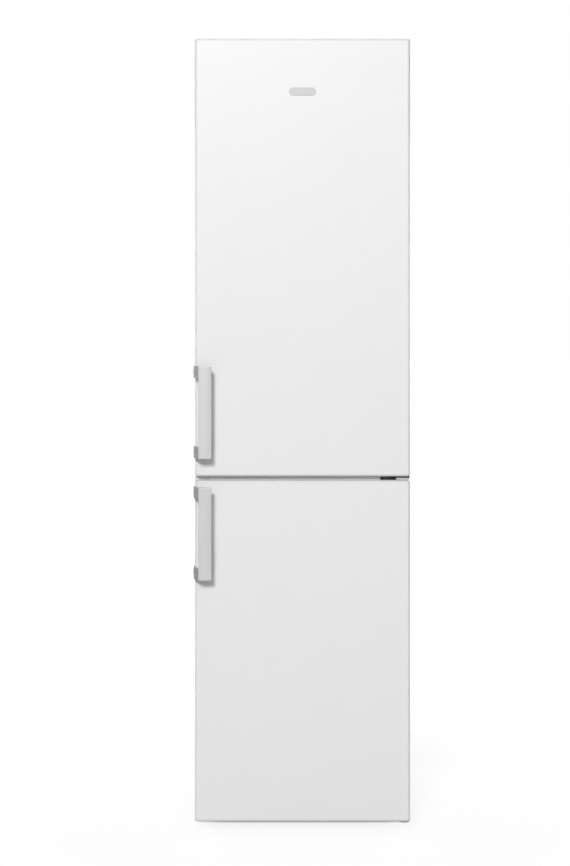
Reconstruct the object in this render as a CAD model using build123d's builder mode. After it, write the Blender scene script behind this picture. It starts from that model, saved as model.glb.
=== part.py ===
from build123d import *
import os

# A free-standing two-door refrigerator with the freezer below.
# The origin is on the floor under the middle of the object: +Z up, -Y out through the doors
# and +X towards the hinges. All sizes are in millimetres.

os.makedirs("parts", exist_ok=True)

# Overall sizes
cabinet_width = 545.0
cabinet_depth = 500.0
door_thickness = 58.0
gasket_depth = 12.0
fridge_door_height = 1108.0
freezer_door_height = 864.0
door_gap = 10.0
floor_gap = 28.0
handle_reach = 40.0
rear_reach = 30.0
top_step = 18.0
base_height = 40.0

# Sheets and shells
steel = 0.6
hem = 1.2
hem_width = 25.0
pan_sheet = 0.8
liner_wall = 1.2
liner_flange = 10.0
room_corner = 8.0
case_corner = 5.0

# Insulated walls round the two rooms
fridge_side_wall = 45.0
fridge_back_wall = 55.0
fridge_top_wall = 45.0
freezer_side_wall = 60.0
freezer_back_wall = 75.0
freezer_floor_wall = 55.0
divider_half = 35.0
niche_depth = 200.0
niche_height = 230.0
niche_wall_y = 50.0
niche_wall_z = 40.0

# Doors
door_corner = 8.0
cap_rim = 6.0
cap_round = 5.0
cap_depth = 20.0
top_cap_depth = 30.0
strip_setback = 20.0
strip_wall = 6.0
strip_clearance = 1.5
strip_hinge_room = 4.0
strip_joint = 1.2
strip_joint_inset = 31.0
strip_end = 10.0
strip_end_setback = 14.0
strip_end_round = 4.0
fold_width = 12.0
gasket_width = 14.0
gasket_inset = 16.5
gasket_round = 8.0
gasket_clearance = 0.3
fridge_gasket_low = 6.0
fridge_gasket_high = 30.0
freezer_gasket_low = 22.0
freezer_gasket_high = 8.0

# Hinges
hinge_inset_x = 14.0
hinge_inset_y = 30.0
pin_radius = 4.0
pin_clearance = 0.05
pin_depth = 13.0
bore_end_room = 1.5
bush_radius = 9.0
bush_wall = 2.0
collar_radius = 13.0
thrust_clearance = 0.3
hinge_plate = 3.0
hinge_eye = 13.5
hinge_arm_length = 70.0
hinge_root = 48.0
hinge_tongue_height = 9.0
hinge_screw_near = 30.0
hinge_screw_far = 62.0
hinge_flange_height = 18.0
hinge_flange_corner = 4.0
low_hinge_setback = 7.0
top_recess = 20.0
top_recess_width = 100.0
top_recess_lip = 12.0
top_eye = 12.0
top_plate_length = 60.0
top_plate_width = 40.0
top_plate_offset_x = 75.0
top_plate_offset_y = 45.0
screw_radius = 2.5
screw_hole_clearance = 0.2
screw_head_radius = 3.5
screw_head = 2.0

# Handles
handle_width = 33.0
handle_height = 232.0
handle_plate = 7.0
handle_crown = 1.5
handle_corner = 3.5
handle_edge = 1.0
handle_inset = 11.0
fridge_handle_rise = 47.0
freezer_handle_drop = 16.0
bracket_height = 29.0
bracket_wall = 2.5
bracket_arm = 4.0
bracket_pad = 44.0
bracket_tab = 22.0
bracket_tab_wall = 5.0
handle_screw_head = 3.4
handle_screw_head_radius = 6.5
handle_screw_setback = 26.0

# Fridge room fittings
shelf_count = 3
shelf_low = 368.0
shelf_pitch = 180.0
crisper_cover_height = 198.0
glass = 4.0
shelf_front = 85.0
shelf_back_room = 20.0
shelf_side_room = 1.5
ledge_width = 8.0
ledge_depth = 6.0
trim_wall = 2.0
trim_depth = 16.0
trim_lip = 10.0
crisper_side_room = 15.0
crisper_wall = 2.5
crisper_height = 180.0
crisper_back_room = 30.0
crisper_corner = 16.0
slide_clearance = 0.3
pull_depth = 14.0
pull_drop = 14.0
pull_wall = 2.5
pull_side_room = 40.0
housing_width = 220.0
housing_length = 238.0
housing_height = 40.0
housing_setback = 12.0
housing_wall = 2.0
housing_round = 6.0
knob_radius = 16.0
knob_depth = 13.0
knob_offset = -50.0
knob_drop = 20.0
knob_shaft_radius = 4.0
knob_shaft_length = 14.0
knob_grip_width = 5.0
knob_grip_depth = 6.0
knob_grip_end = 1.0
switch_offset = 60.0
switch_radius = 4.0
switch_length = 46.0
switch_sleeve_wall = 2.0
switch_sleeve_length = 20.0
switch_tip_round = 1.5
lens_length = 90.0
lens_width = 110.0
lens_wall = 1.6
lens_drop = 9.0
lens_setback = 60.0
lamp_radius = 11.0
lamp_drop = 7.0
socket_radius = 8.0
socket_length = 10.0

# Fridge door fittings
dike_outer_inset = 60.5
dike_width = 16.0
dike_depth = 42.0
dike_round = 5.0
dike_low = 43.0
dike_high = 115.0
bin_depth = 85.0
bin_wall = 2.0
bin_corner = 10.0
bin_side_room = 0.5
bin_lug = 6.0
bin_lug_height = 8.0
bin_lug_depth = 40.0
bottle_bin_rise = 73.0
bottle_bin_height = 105.0
upper_bin_count = 2
upper_bin_low = 368.0
upper_bin_pitch = 210.0
upper_bin_height = 70.0
dairy_bin_rise = 810.0
dairy_bin_height = 80.0
lid_wall = 2.5
lid_pin_radius = 2.5
lid_pin_clearance = 0.05
lid_ear = 8.0
lid_barrel_radius = 5.0
lid_side_clearance = 0.4
lid_front_lip = 8.0

# Freezer room fittings
level_count = 3
level_low = 225.0
level_pitch = 180.0
tube_radius = 4.0
tube_runs = 10
tube_bend = 15.0
tube_side_room = 23.5
tube_front = 65.0
tube_back_room = 20.0
riser_reach = 14.0
riser_bend = 10.0
wire_radius = 1.0
wires_per_level = 9
wire_end_room = 1.5
weld_gap = 0.02
drawer_setback = 45.0
drawer_side_room = 5.0
drawer_back_room = 30.0
drawer_wall = 2.5
drawer_corner = 14.0
drawer_bottom_round = 12.0
drawer_head_room = 8.0
bottom_drawer_back_room = 5.0
fridge_plate_width = 380.0
fridge_plate_height = 400.0
fridge_plate_sheet = 1.5
fridge_plate_rise = 520.0
door_panel_inset = 82.0
door_panel_end = 62.0
door_panel_depth = 6.0
door_panel_round = 5.0

# Machine niche, feet and rear
rail_sheet = 2.0
foot_inset_x = 47.5
foot_setback = 95.0
foot_radius = 19.0
foot_thickness = 10.0
foot_round = 2.5
stud_radius = 5.0
stud_clearance = 0.05
stud_top_room = 2.0
stud_boss_radius = 9.0
stud_boss_height = 22.0
roller_radius = 15.0
roller_width = 18.0
roller_setback = 50.0
axle_radius = 3.0
axle_clearance = 0.05
roller_side_clearance = 0.3
roller_lug = 2.0
roller_lug_half = 9.0
compressor_x = -60.0
compressor_setback = 100.0
compressor_length = 150.0
compressor_width = 124.0
compressor_height = 148.0
compressor_wall = 5.0
compressor_dome = 42.0
compressor_seam = 4.0
compressor_seam_height = 6.0
compressor_plate_length = 190.0
compressor_plate_width = 150.0
compressor_plate = 3.0
grommet_radius = 10.0
grommet_height = 12.0
grommet_inset = 14.0
bolt_radius = 3.0
bolt_clearance = 0.3
bolt_end = 8.0
nut_width = 10.0
nut_height = 5.0
pipe_radius = 2.5
pipe_bend = 14.0
pipe_height = 78.0
stub_radius = 4.0
stub_length = 16.0
drier_radius = 8.0
drier_length = 100.0
terminal_width = 40.0
terminal_height = 30.0
terminal_stand = 4.0
relay_width = 60.0
relay_height = 50.0
relay_depth = 26.0
relay_round = 4.0
gland_radius = 7.0
gland_bore = 4.0
gland_length = 9.0
drain_pan_height = 30.0
drain_pan_wall = 2.0
drain_pan_overhang = 14.0
drain_pan_corner = 18.0
condenser_radius = 2.5
condenser_runs = 21
condenser_low = 60.0
condenser_pitch = 58.5
condenser_inset = 47.5
condenser_bend = 20.0
condenser_stand = 16.0
condenser_wires = 20
condenser_wire_radius = 0.8
condenser_wire_inset = 10.0
condenser_wire_overrun = 12.0
stand_width = 12.0
stand_height = 22.0
riser_offset = 18.0
plinth_sheet = 3.0
plinth_setback = 14.0
plinth_low = 8.0
plinth_side_room = 7.5
plinth_hinge_room = 92.0
cover_wall = 2.5
cover_height = 16.0
cover_side_room = 1.0
cover_notch_width = 160.0
cover_notch_depth = 85.0
cover_round = 6.0
blank_width = 68.0
blank_thickness = 3.0
blank_inset = 4.5

# Planes of the whole object
half_width = cabinet_width / 2
total_depth = handle_reach + door_thickness + gasket_depth + cabinet_depth + rear_reach
y_handle = -total_depth / 2
y_door = y_handle + handle_reach
y_inner = y_door + door_thickness
y_case = y_inner + gasket_depth
y_back = y_case + cabinet_depth
y_rear = y_back + rear_reach
z_freezer = floor_gap
z_freezer_top = z_freezer + freezer_door_height
z_fridge = z_freezer_top + door_gap
z_top = z_fridge + fridge_door_height
z_gap = z_freezer_top + door_gap / 2
z_case = z_top - top_step
fridge_half = half_width - fridge_side_wall
fridge_floor = z_gap + divider_half
fridge_ceiling = z_case - fridge_top_wall
y_fridge = y_back - fridge_back_wall
freezer_half = half_width - freezer_side_wall
freezer_floor = base_height + freezer_floor_wall
freezer_ceiling = z_gap - divider_half
y_freezer = y_back - freezer_back_wall
y_niche = y_back - niche_depth
z_niche = base_height + niche_height
y_step = y_niche - niche_wall_y
z_step = z_niche + niche_wall_z
hinge_x = half_width - hinge_inset_x
hinge_y = y_door + hinge_inset_y
inside_half = half_width - steel
hem_half = half_width - hem_width


def block(x, y, z, mode=Mode.ADD):
    """Add a box given by its low and high limits on each axis."""
    centre = ((x[0] + x[1]) / 2, (y[0] + y[1]) / 2, (z[0] + z[1]) / 2)
    with Locations(centre):
        Box(abs(x[1] - x[0]), y[1] - y[0], z[1] - z[0], mode=mode)


def rod(start, direction, length, radius, mode=Mode.ADD):
    """Add a round bar from a point along a direction."""
    with BuildSketch(Plane(origin=start, z_dir=direction)) as end:
        Circle(radius)
    extrude(end.sketch, amount=length, mode=mode)


def tube(points, bend, radius):
    """Add a round tube along straight runs with rounded bends."""
    with BuildLine() as route:
        FilletPolyline(*points, radius=bend)
    with BuildSketch(Plane(origin=route.line @ 0, z_dir=route.line % 0)) as end:
        Circle(radius)
    sweep(end.sketch, path=route.line)


def make_tub(x, y, z, wall, corner, bottom_round):
    """An open-topped tub with rounded upright and bottom edges."""
    with BuildPart() as tub:
        block(x, y, z)
        fillet(tub.edges().filter_by(Axis.Z), corner)
        fillet(tub.faces().sort_by(Axis.Z)[0].edges(), bottom_round)
        offset(amount=-wall, openings=tub.faces().sort_by(Axis.Z)[-1])
    return tub.part


def case_slice(y, inset, mode=Mode.ADD):
    """Add a slice of the cabinet's front view, drawn in from the outer skin."""
    with BuildSketch(Plane.XZ.offset(-y[0])) as view:
        with Locations((0, (base_height + z_case - inset) / 2)):
            Rectangle(cabinet_width - 2 * inset, z_case - inset - base_height)
        if inset < case_corner:
            fillet(view.vertices().group_by(Axis.Y)[-1], case_corner - inset)
    extrude(view.sketch, amount=-(y[1] - y[0]), mode=mode)


def fridge_room(grow):
    """The fridge room as a solid, grown outwards on every side but its open front."""
    with BuildPart() as room:
        block(
            (-fridge_half - grow, fridge_half + grow),
            (y_case, y_fridge + grow),
            (fridge_floor - grow, fridge_ceiling + grow),
        )
        fillet(room.edges().filter_by(Axis.Y), room_corner + grow)
    return room.part


def freezer_room(grow):
    """The freezer room as a solid, shallower at the bottom in front of the machine niche."""
    with BuildPart() as room:
        block(
            (-freezer_half - grow, freezer_half + grow),
            (y_case, y_freezer + grow),
            (z_step - grow, freezer_ceiling + grow),
        )
        block(
            (-freezer_half - grow, freezer_half + grow),
            (y_case, y_step + grow),
            (freezer_floor - grow, z_step - grow),
        )
        sides = room.edges().filter_by(Axis.Y)
        fillet(sides.group_by(Axis.Z)[0] + sides.group_by(Axis.Z)[-1], room_corner + grow)
    return room.part


def fridge_hinge_recess(mode=Mode.SUBTRACT):
    """The pocket in the fridge door's top corner that the top hinge reaches into."""
    block(
        (half_width - top_recess_width, half_width),
        (y_door + top_recess_lip, y_inner),
        (z_top - top_recess, z_top),
        mode,
    )


# Cabinet shell: sides and top in one folded sheet, with a hemmed front edge
with BuildPart() as outer_case:
    case_slice((y_case, y_back), 0)
    case_slice((y_case + hem, y_back), steel, Mode.SUBTRACT)
    block((-hem_half, hem_half), (y_case, y_case + hem), (base_height, z_case - hem_width), Mode.SUBTRACT)
    for side in (-1, 1):
        edge = sorted((side * hem_half, side * inside_half))
        pan_end = base_height + freezer_floor_wall - liner_flange
        block(edge, (y_case, y_case + hem), (base_height, pan_end), Mode.SUBTRACT)
    top_screw_x = hinge_x - top_plate_offset_x
    top_screw_y = y_case + top_plate_offset_y
    with Locations((top_screw_x, top_screw_y, z_case)):
        with GridLocations(top_plate_length / 2, top_plate_width / 2, 2, 2):
            Hole(screw_radius + screw_hole_clearance, depth=steel)
outer_case.part.label = "outer_case"
export_step(outer_case.part, "parts/outer_case.step")

# Rear sheet above the machine niche
with BuildPart() as back_panel:
    case_slice((y_back - steel, y_back), steel)
    block((-half_width, half_width), (y_back - steel, y_back), (base_height, z_niche), Mode.SUBTRACT)
back_panel.part.label = "back_panel"
export_step(back_panel.part, "parts/back_panel.step")

# Floor sheet: front upstand, floor, niche wall and niche ceiling, with bosses for the feet
foot_places = [(side * (half_width - foot_inset_x), y_case + foot_setback) for side in (-1, 1)]
boss_top = base_height + pan_sheet + stud_boss_height
bottom_flange_y = (y_case + low_hinge_setback, y_case + low_hinge_setback + hinge_flange_height)
bottom_screw_y = (bottom_flange_y[0] + bottom_flange_y[1]) / 2
flange_x = (hinge_x + hinge_eye - hinge_arm_length, hinge_x + hinge_eye)
root_x = (flange_x[1] - hinge_root, flange_x[1])
hinge_screw_xs = [flange_x[1] - hinge_screw_near, flange_x[1] - hinge_screw_far]
hole_radius = screw_radius + screw_hole_clearance
with BuildPart() as base_pan:
    across = (-inside_half, inside_half)
    block(across, (y_case, y_case + hem), (base_height, freezer_floor - liner_flange))
    block(across, (y_case, y_niche), (base_height, base_height + pan_sheet))
    block(across, (y_niche - pan_sheet, y_niche), (base_height, z_niche))
    block(across, (y_niche - pan_sheet, y_back - steel), (z_niche, z_niche + pan_sheet))
    for x, y in foot_places:
        rod((x, y, base_height), (0, 0, 1), boss_top - base_height, stud_boss_radius)
        rod((x, y, base_height), (0, 0, 1), boss_top - base_height, stud_radius + stud_clearance, Mode.SUBTRACT)
    for x in hinge_screw_xs:
        rod((x, bottom_screw_y, base_height), (0, 0, 1), pan_sheet, hole_radius, Mode.SUBTRACT)
base_pan.part.label = "base_pan"
export_step(base_pan.part, "parts/base_pan.step")

# Foam that fills the space between the outer sheets and the two liners
fridge_outside = fridge_room(liner_wall)
freezer_outside = freezer_room(liner_wall)
plate_z = fridge_floor + fridge_plate_rise
fridge_plate_box = (
    (-fridge_plate_width / 2, fridge_plate_width / 2),
    (y_fridge + liner_wall, y_fridge + liner_wall + fridge_plate_sheet),
    (plate_z, plate_z + fridge_plate_height),
)
with BuildPart() as foam_insulation:
    case_slice((y_case + hem, y_back - steel), steel)
    block((-half_width, half_width), (y_case, y_back), (base_height, base_height + pan_sheet), Mode.SUBTRACT)
    block(
        (-half_width, half_width),
        (y_niche - pan_sheet, y_back),
        (base_height, z_niche + pan_sheet),
        Mode.SUBTRACT,
    )
    add(fridge_outside, mode=Mode.SUBTRACT)
    add(freezer_outside, mode=Mode.SUBTRACT)
    block(*fridge_plate_box, Mode.SUBTRACT)
    for x, y in foot_places:
        rod((x, y, base_height), (0, 0, 1), boss_top - base_height, stud_boss_radius, Mode.SUBTRACT)
foam_insulation.part.label = "foam_insulation"
export_step(foam_insulation.part, "parts/foam_insulation.step")

# Fridge liner: an open box with a front flange and ledges for the shelves
fridge_inside = fridge_room(0)
shelf_levels = [fridge_floor + crisper_cover_height]
shelf_levels += [fridge_floor + shelf_low + shelf_pitch * index for index in range(shelf_count)]
y_shelf = y_case + shelf_front
y_shelf_back = y_fridge - shelf_back_room
with BuildPart() as fridge_liner:
    add(fridge_outside)
    block(
        (-hem_half, hem_half),
        (y_case, y_case + hem),
        (fridge_floor - liner_flange, z_case - hem_width),
    )
    add(fridge_inside, mode=Mode.SUBTRACT)
    for side in (-1, 1):
        ledge = sorted((side * (fridge_half - ledge_width), side * (fridge_half + liner_wall / 2)))
        for level in shelf_levels:
            block(ledge, (y_shelf + trim_depth, y_shelf_back), (level - ledge_depth, level))
fridge_liner.part.label = "fridge_liner"
export_step(fridge_liner.part, "parts/fridge_liner.step")

# Freezer liner: stepped at the back, with ledges for the cooling shelves
freezer_inside = freezer_room(0)
level_tops = [freezer_floor + level_low + level_pitch * index for index in range(level_count)]
y_tube_front = y_case + tube_front
y_tube_back = y_freezer - tube_back_room
with BuildPart() as freezer_liner:
    add(freezer_outside)
    block(
        (-hem_half, hem_half),
        (y_case, y_case + hem),
        (freezer_floor - liner_flange, freezer_ceiling + liner_flange),
    )
    add(freezer_inside, mode=Mode.SUBTRACT)
    for side in (-1, 1):
        ledge = sorted((side * (freezer_half - ledge_width), side * (freezer_half + liner_wall / 2)))
        for level in level_tops:
            block(ledge, (y_tube_front, y_tube_back), (level - ledge_depth, level))
freezer_liner.part.label = "freezer_liner"
export_step(freezer_liner.part, "parts/freezer_liner.step")

# Steel strip between the two rooms, with screw holes for the middle hinge
middle_screw_zs = [z_gap - (hinge_flange_height + hinge_plate) / 4, z_gap]
with BuildPart() as centre_rail:
    block(
        (-hem_half, hem_half),
        (y_case, y_case + hem),
        (freezer_ceiling + liner_flange, fridge_floor - liner_flange),
    )
    for x, z in zip(hinge_screw_xs, middle_screw_zs):
        rod((x, y_case, z), (0, 1, 0), hem, hole_radius, Mode.SUBTRACT)
centre_rail.part.label = "centre_rail"
export_step(centre_rail.part, "parts/centre_rail.step")

# Worktop cover on the cabinet, notched at the hinge corner
with BuildPart() as top_cover:
    cover_half = half_width - cover_side_room
    block((-cover_half, cover_half), (y_case, y_back), (z_case, z_case + cover_height))
    upright = top_cover.edges().filter_by(Axis.Z).group_by(Axis.Y)[-1]
    fillet(upright, cover_round)
    fillet(top_cover.faces().sort_by(Axis.Z)[-1].edges(), cover_wall / 2)
    block(
        (-cover_half + cover_wall, cover_half - cover_wall),
        (y_case + cover_wall, y_back - cover_wall),
        (z_case, z_case + cover_height - cover_wall),
        Mode.SUBTRACT,
    )
    block(
        (half_width - cover_notch_width, half_width),
        (y_case, y_case + cover_notch_depth),
        (z_case, z_case + cover_height),
        Mode.SUBTRACT,
    )
top_cover.part.label = "top_cover"
export_step(top_cover.part, "parts/top_cover.step")

# Plinth strip under the freezer door, short of the hinge
with BuildPart() as plinth:
    block(
        (-half_width + plinth_side_room, half_width - plinth_hinge_room),
        (y_case + plinth_setback, y_case + plinth_setback + plinth_sheet),
        (plinth_low, base_height),
    )
    fillet(plinth.edges().filter_by(Axis.Y).group_by(Axis.Z)[0], plinth_sheet)
plinth.part.label = "plinth"
export_step(plinth.part, "parts/plinth.step")

# Blank plate over the unused hinge place on the other end of the rail
with BuildPart() as hole_plugs:
    blank_low = -half_width + blank_inset
    flange_z = (z_gap - hinge_flange_height / 2, z_gap + hinge_flange_height / 2)
    block((blank_low, blank_low + blank_width), (y_case - blank_thickness, y_case), flange_z)
    fillet(hole_plugs.edges().filter_by(Axis.Y).group_by(Axis.X)[-1], hinge_flange_corner)
hole_plugs.part.label = "hole_plugs"
export_step(hole_plugs.part, "parts/hole_plugs.step")

# Rear carrier for the compressor and the rollers
roller_y = y_back - roller_setback
roller_places = [side * (half_width - foot_inset_x) for side in (-1, 1)]
roller_gap = roller_width / 2 + roller_side_clearance
rail_top = base_height + rail_sheet
compressor_y = y_back - compressor_setback
plate_bottom = rail_top + grommet_height
plate_top = plate_bottom + compressor_plate
bolt_grid = (compressor_plate_length - 2 * grommet_inset, compressor_plate_width - 2 * grommet_inset)
with BuildPart() as machine_rail:
    block((-inside_half, inside_half), (y_niche, y_back), (base_height, rail_top))
    for side in (-1, 1):
        cheek = sorted((side * (inside_half - rail_sheet), side * inside_half))
        block(cheek, (y_niche, y_back), (rail_top, z_niche))
    for x in roller_places:
        for low in (x - roller_gap - roller_lug, x + roller_gap):
            block(
                (low, low + roller_lug),
                (roller_y - roller_lug_half, roller_y + roller_lug_half),
                (roller_radius - roller_lug_half, base_height),
            )
        axle_start = (x - roller_gap - roller_lug, roller_y, roller_radius)
        rod(axle_start, (1, 0, 0), 2 * (roller_gap + roller_lug), axle_radius)
    with BuildSketch(Plane.XY.offset(rail_top)):
        with Locations((compressor_x, compressor_y)):
            with GridLocations(*bolt_grid, 2, 2):
                Circle(bolt_radius)
    extrude(amount=plate_top + bolt_end - rail_top)
machine_rail.part.label = "machine_rail"
export_step(machine_rail.part, "parts/machine_rail.step")

# Rear rollers
for name, x in zip(("left_roller", "right_roller"), roller_places):
    with BuildPart() as roller:
        rod((x - roller_width / 2, roller_y, roller_radius), (1, 0, 0), roller_width, roller_radius)
        fillet(roller.edges(), foot_round / 2)
        bore_start = (x - roller_width / 2, roller_y, roller_radius)
        rod(bore_start, (1, 0, 0), roller_width, axle_radius + axle_clearance, Mode.SUBTRACT)
    roller.part.label = name
    export_step(roller.part, f"parts/{name}.step")

# Front levelling feet, a disc on a stud
for name, (x, y) in zip(("left_foot", "right_foot"), foot_places):
    with BuildPart() as foot:
        rod((x, y, 0), (0, 0, 1), foot_thickness, foot_radius)
        fillet(foot.edges(), foot_round)
        rod((x, y, foot_thickness), (0, 0, 1), boss_top - stud_top_room - foot_thickness, stud_radius)
    foot.part.label = name
    export_step(foot.part, f"parts/{name}.step")

# Compressor: a domed shell with a seam, stubs, a terminal block and its mounting plate
compressor_top = plate_top + compressor_height
stub_z = base_height + pipe_height
stub_ends = [compressor_x + side * (compressor_length / 2 + stub_length) for side in (-1, 1)]
terminal_z = plate_top + compressor_height / 2 - terminal_height
relay_y = compressor_y + compressor_width / 2 + compressor_seam + terminal_stand
with BuildPart() as compressor:
    with BuildSketch(Plane.XY.offset(plate_top)):
        with Locations((compressor_x, compressor_y)):
            Ellipse(compressor_length / 2, compressor_width / 2)
    extrude(amount=compressor_height)
    fillet(compressor.faces().sort_by(Axis.Z)[-1].edges(), compressor_dome)
    offset(amount=-compressor_wall, kind=Kind.INTERSECTION, mode=Mode.SUBTRACT)
    seam_z = plate_top + compressor_height / 2
    with BuildSketch(Plane.XY.offset(seam_z)):
        with Locations((compressor_x, compressor_y)):
            Ellipse(compressor_length / 2 + compressor_seam, compressor_width / 2 + compressor_seam)
            Ellipse(
                compressor_length / 2 - compressor_wall / 2,
                compressor_width / 2 - compressor_wall / 2,
                mode=Mode.SUBTRACT,
            )
    extrude(amount=compressor_seam_height)
    with BuildSketch(Plane.XY.offset(plate_bottom)) as plate_view:
        with Locations((compressor_x, compressor_y)):
            RectangleRounded(compressor_plate_length, compressor_plate_width, grommet_inset)
            with GridLocations(*bolt_grid, 2, 2):
                Circle(bolt_radius + bolt_clearance, mode=Mode.SUBTRACT)
    extrude(amount=compressor_plate)
    for end, side in zip(stub_ends, (-1, 1)):
        start = (end - side * (stub_length + compressor_wall / 2), compressor_y, stub_z)
        rod(start, (side, 0, 0), stub_length + compressor_wall / 2, stub_radius)
    block(
        (compressor_x - terminal_width / 2, compressor_x + terminal_width / 2),
        (compressor_y + compressor_width / 2 - compressor_wall, relay_y),
        (terminal_z, terminal_z + terminal_height),
    )
compressor.part.label = "compressor"
export_step(compressor.part, "parts/compressor.step")

# Rubber grommets under the compressor plate
with BuildPart() as compressor_grommets:
    with BuildSketch(Plane.XY.offset(rail_top)):
        with Locations((compressor_x, compressor_y)):
            with GridLocations(*bolt_grid, 2, 2):
                Circle(grommet_radius)
                Circle(bolt_radius + bolt_clearance, mode=Mode.SUBTRACT)
    extrude(amount=grommet_height)
compressor_grommets.part.label = "compressor_grommets"
export_step(compressor_grommets.part, "parts/compressor_grommets.step")

# Nuts that hold the compressor plate
with BuildPart() as compressor_nuts:
    with BuildSketch(Plane.XY.offset(plate_top)):
        with Locations((compressor_x, compressor_y)):
            with GridLocations(*bolt_grid, 2, 2):
                RegularPolygon(nut_width / 2, 6, major_radius=False)
                Circle(bolt_radius + pin_clearance, mode=Mode.SUBTRACT)
    extrude(amount=nut_height)
compressor_nuts.part.label = "compressor_nuts"
export_step(compressor_nuts.part, "parts/compressor_nuts.step")

# Relay box on the terminal block, with the collar where a supply cord would enter
with BuildPart() as relay_box:
    relay_mid = terminal_z + terminal_height / 2
    block(
        (compressor_x - relay_width / 2, compressor_x + relay_width / 2),
        (relay_y, relay_y + relay_depth),
        (relay_mid - relay_height / 2, relay_mid + relay_height / 2),
    )
    fillet(relay_box.faces().sort_by(Axis.Y)[-1].edges(), relay_round)
    gland_start = (compressor_x, relay_y + relay_depth, relay_mid)
    rod(gland_start, (0, 1, 0), gland_length, gland_radius)
    rod(gland_start, (0, 1, 0), gland_length, gland_bore, Mode.SUBTRACT)
relay_box.part.label = "relay_box"
export_step(relay_box.part, "parts/relay_box.step")

# Drain pan on top of the compressor, which evaporates the melt water
drain_half_x = compressor_length / 2 + drain_pan_overhang
drain_half_y = compressor_width / 2 + drain_pan_overhang
drain_pan_body = make_tub(
    (compressor_x - drain_half_x, compressor_x + drain_half_x),
    (compressor_y - drain_half_y, compressor_y + drain_half_y),
    (compressor_top, compressor_top + drain_pan_height),
    drain_pan_wall,
    drain_pan_corner,
    drain_pan_wall * 2,
)
with BuildPart() as drain_pan:
    add(drain_pan_body)
drain_pan.part.label = "drain_pan"
export_step(drain_pan.part, "parts/drain_pan.step")

# Condenser: one tube to and fro behind the cabinet, with upright wires on both sides
condenser_half = half_width - condenser_inset
condenser_y = y_back + condenser_stand
condenser_z = [z_niche + condenser_low + run * condenser_pitch for run in range(condenser_runs)]
condenser_points = []
for run, z in enumerate(condenser_z):
    ends = (condenser_half, -condenser_half) if run % 2 == 0 else (-condenser_half, condenser_half)
    condenser_points += [(x, condenser_y, z) for x in ends]
wire_span = 2 * (condenser_half - condenser_bend - condenser_wire_inset)
wire_pitch = wire_span / (condenser_wires - 1)
wire_xs = [-wire_span / 2 + wire_pitch * index for index in range(condenser_wires)]
wire_low = condenser_z[0] - condenser_wire_overrun
wire_length = condenser_z[-1] + condenser_wire_overrun - wire_low
wire_offset = condenser_radius + condenser_wire_radius + weld_gap
with BuildPart() as condenser:
    tube(condenser_points, condenser_bend, condenser_radius)
    for side in (-1, 1):
        with BuildSketch(Plane.XY.offset(wire_low)):
            with Locations([(x, condenser_y + side * wire_offset) for x in wire_xs]):
                Circle(condenser_wire_radius)
        extrude(amount=wire_length)
condenser.part.label = "condenser"
export_step(condenser.part, "parts/condenser.step")

# Stand-off brackets that grip the condenser tube and keep the rear off the room's wall
stand_xs = [wire_xs[2] + wire_pitch / 2, wire_xs[-3] - wire_pitch / 2]
with BuildPart() as condenser_brackets:
    for x in stand_xs:
        for z in (condenser_z[1], condenser_z[-2]):
            block(
                (x - stand_width / 2, x + stand_width / 2),
                (y_back, y_rear),
                (z - stand_height / 2, z + stand_height / 2),
            )
            start = (x - stand_width / 2, condenser_y, z)
            rod(start, (1, 0, 0), stand_width, condenser_radius + pin_clearance, Mode.SUBTRACT)
condenser_brackets.part.label = "condenser_brackets"
export_step(condenser_brackets.part, "parts/condenser_brackets.step")

# Refrigerant pipes: hot gas to the condenser, liquid through the drier, suction back
riser_x = condenser_half + riser_offset
drier_top = condenser_z[1]
inlet_y = (y_niche + y_back) / 2
hot_gas_points = [
    (stub_ends[1], compressor_y, stub_z),
    ((stub_ends[1] + riser_x) / 2, compressor_y, stub_z),
    ((stub_ends[1] + riser_x) / 2, condenser_y, stub_z),
    (riser_x, condenser_y, stub_z),
    (riser_x, condenser_y, condenser_z[0]),
    (condenser_half, condenser_y, condenser_z[0]),
]
liquid_points = [
    (-condenser_half, condenser_y, condenser_z[-1]),
    (-riser_x, condenser_y, condenser_z[-1]),
    (-riser_x, condenser_y, drier_top),
]
capillary_points = [
    (-riser_x, condenser_y, drier_top - drier_length),
    (-riser_x, condenser_y, stub_z),
    (-riser_x, inlet_y, stub_z),
    (-riser_x, inlet_y, z_niche),
]
suction_x = (stub_ends[0] - riser_x) / 2
suction_points = [
    (stub_ends[0], compressor_y, stub_z),
    (suction_x, compressor_y, stub_z),
    (suction_x, compressor_y, z_niche),
]
with BuildPart() as refrigerant_pipes:
    for points in (hot_gas_points, liquid_points, capillary_points, suction_points):
        tube(points, pipe_bend, pipe_radius)
    rod((-riser_x, condenser_y, drier_top), (0, 0, -1), drier_length, drier_radius)
refrigerant_pipes.part.label = "refrigerant_pipes"
export_step(refrigerant_pipes.part, "parts/refrigerant_pipes.step")

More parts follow.
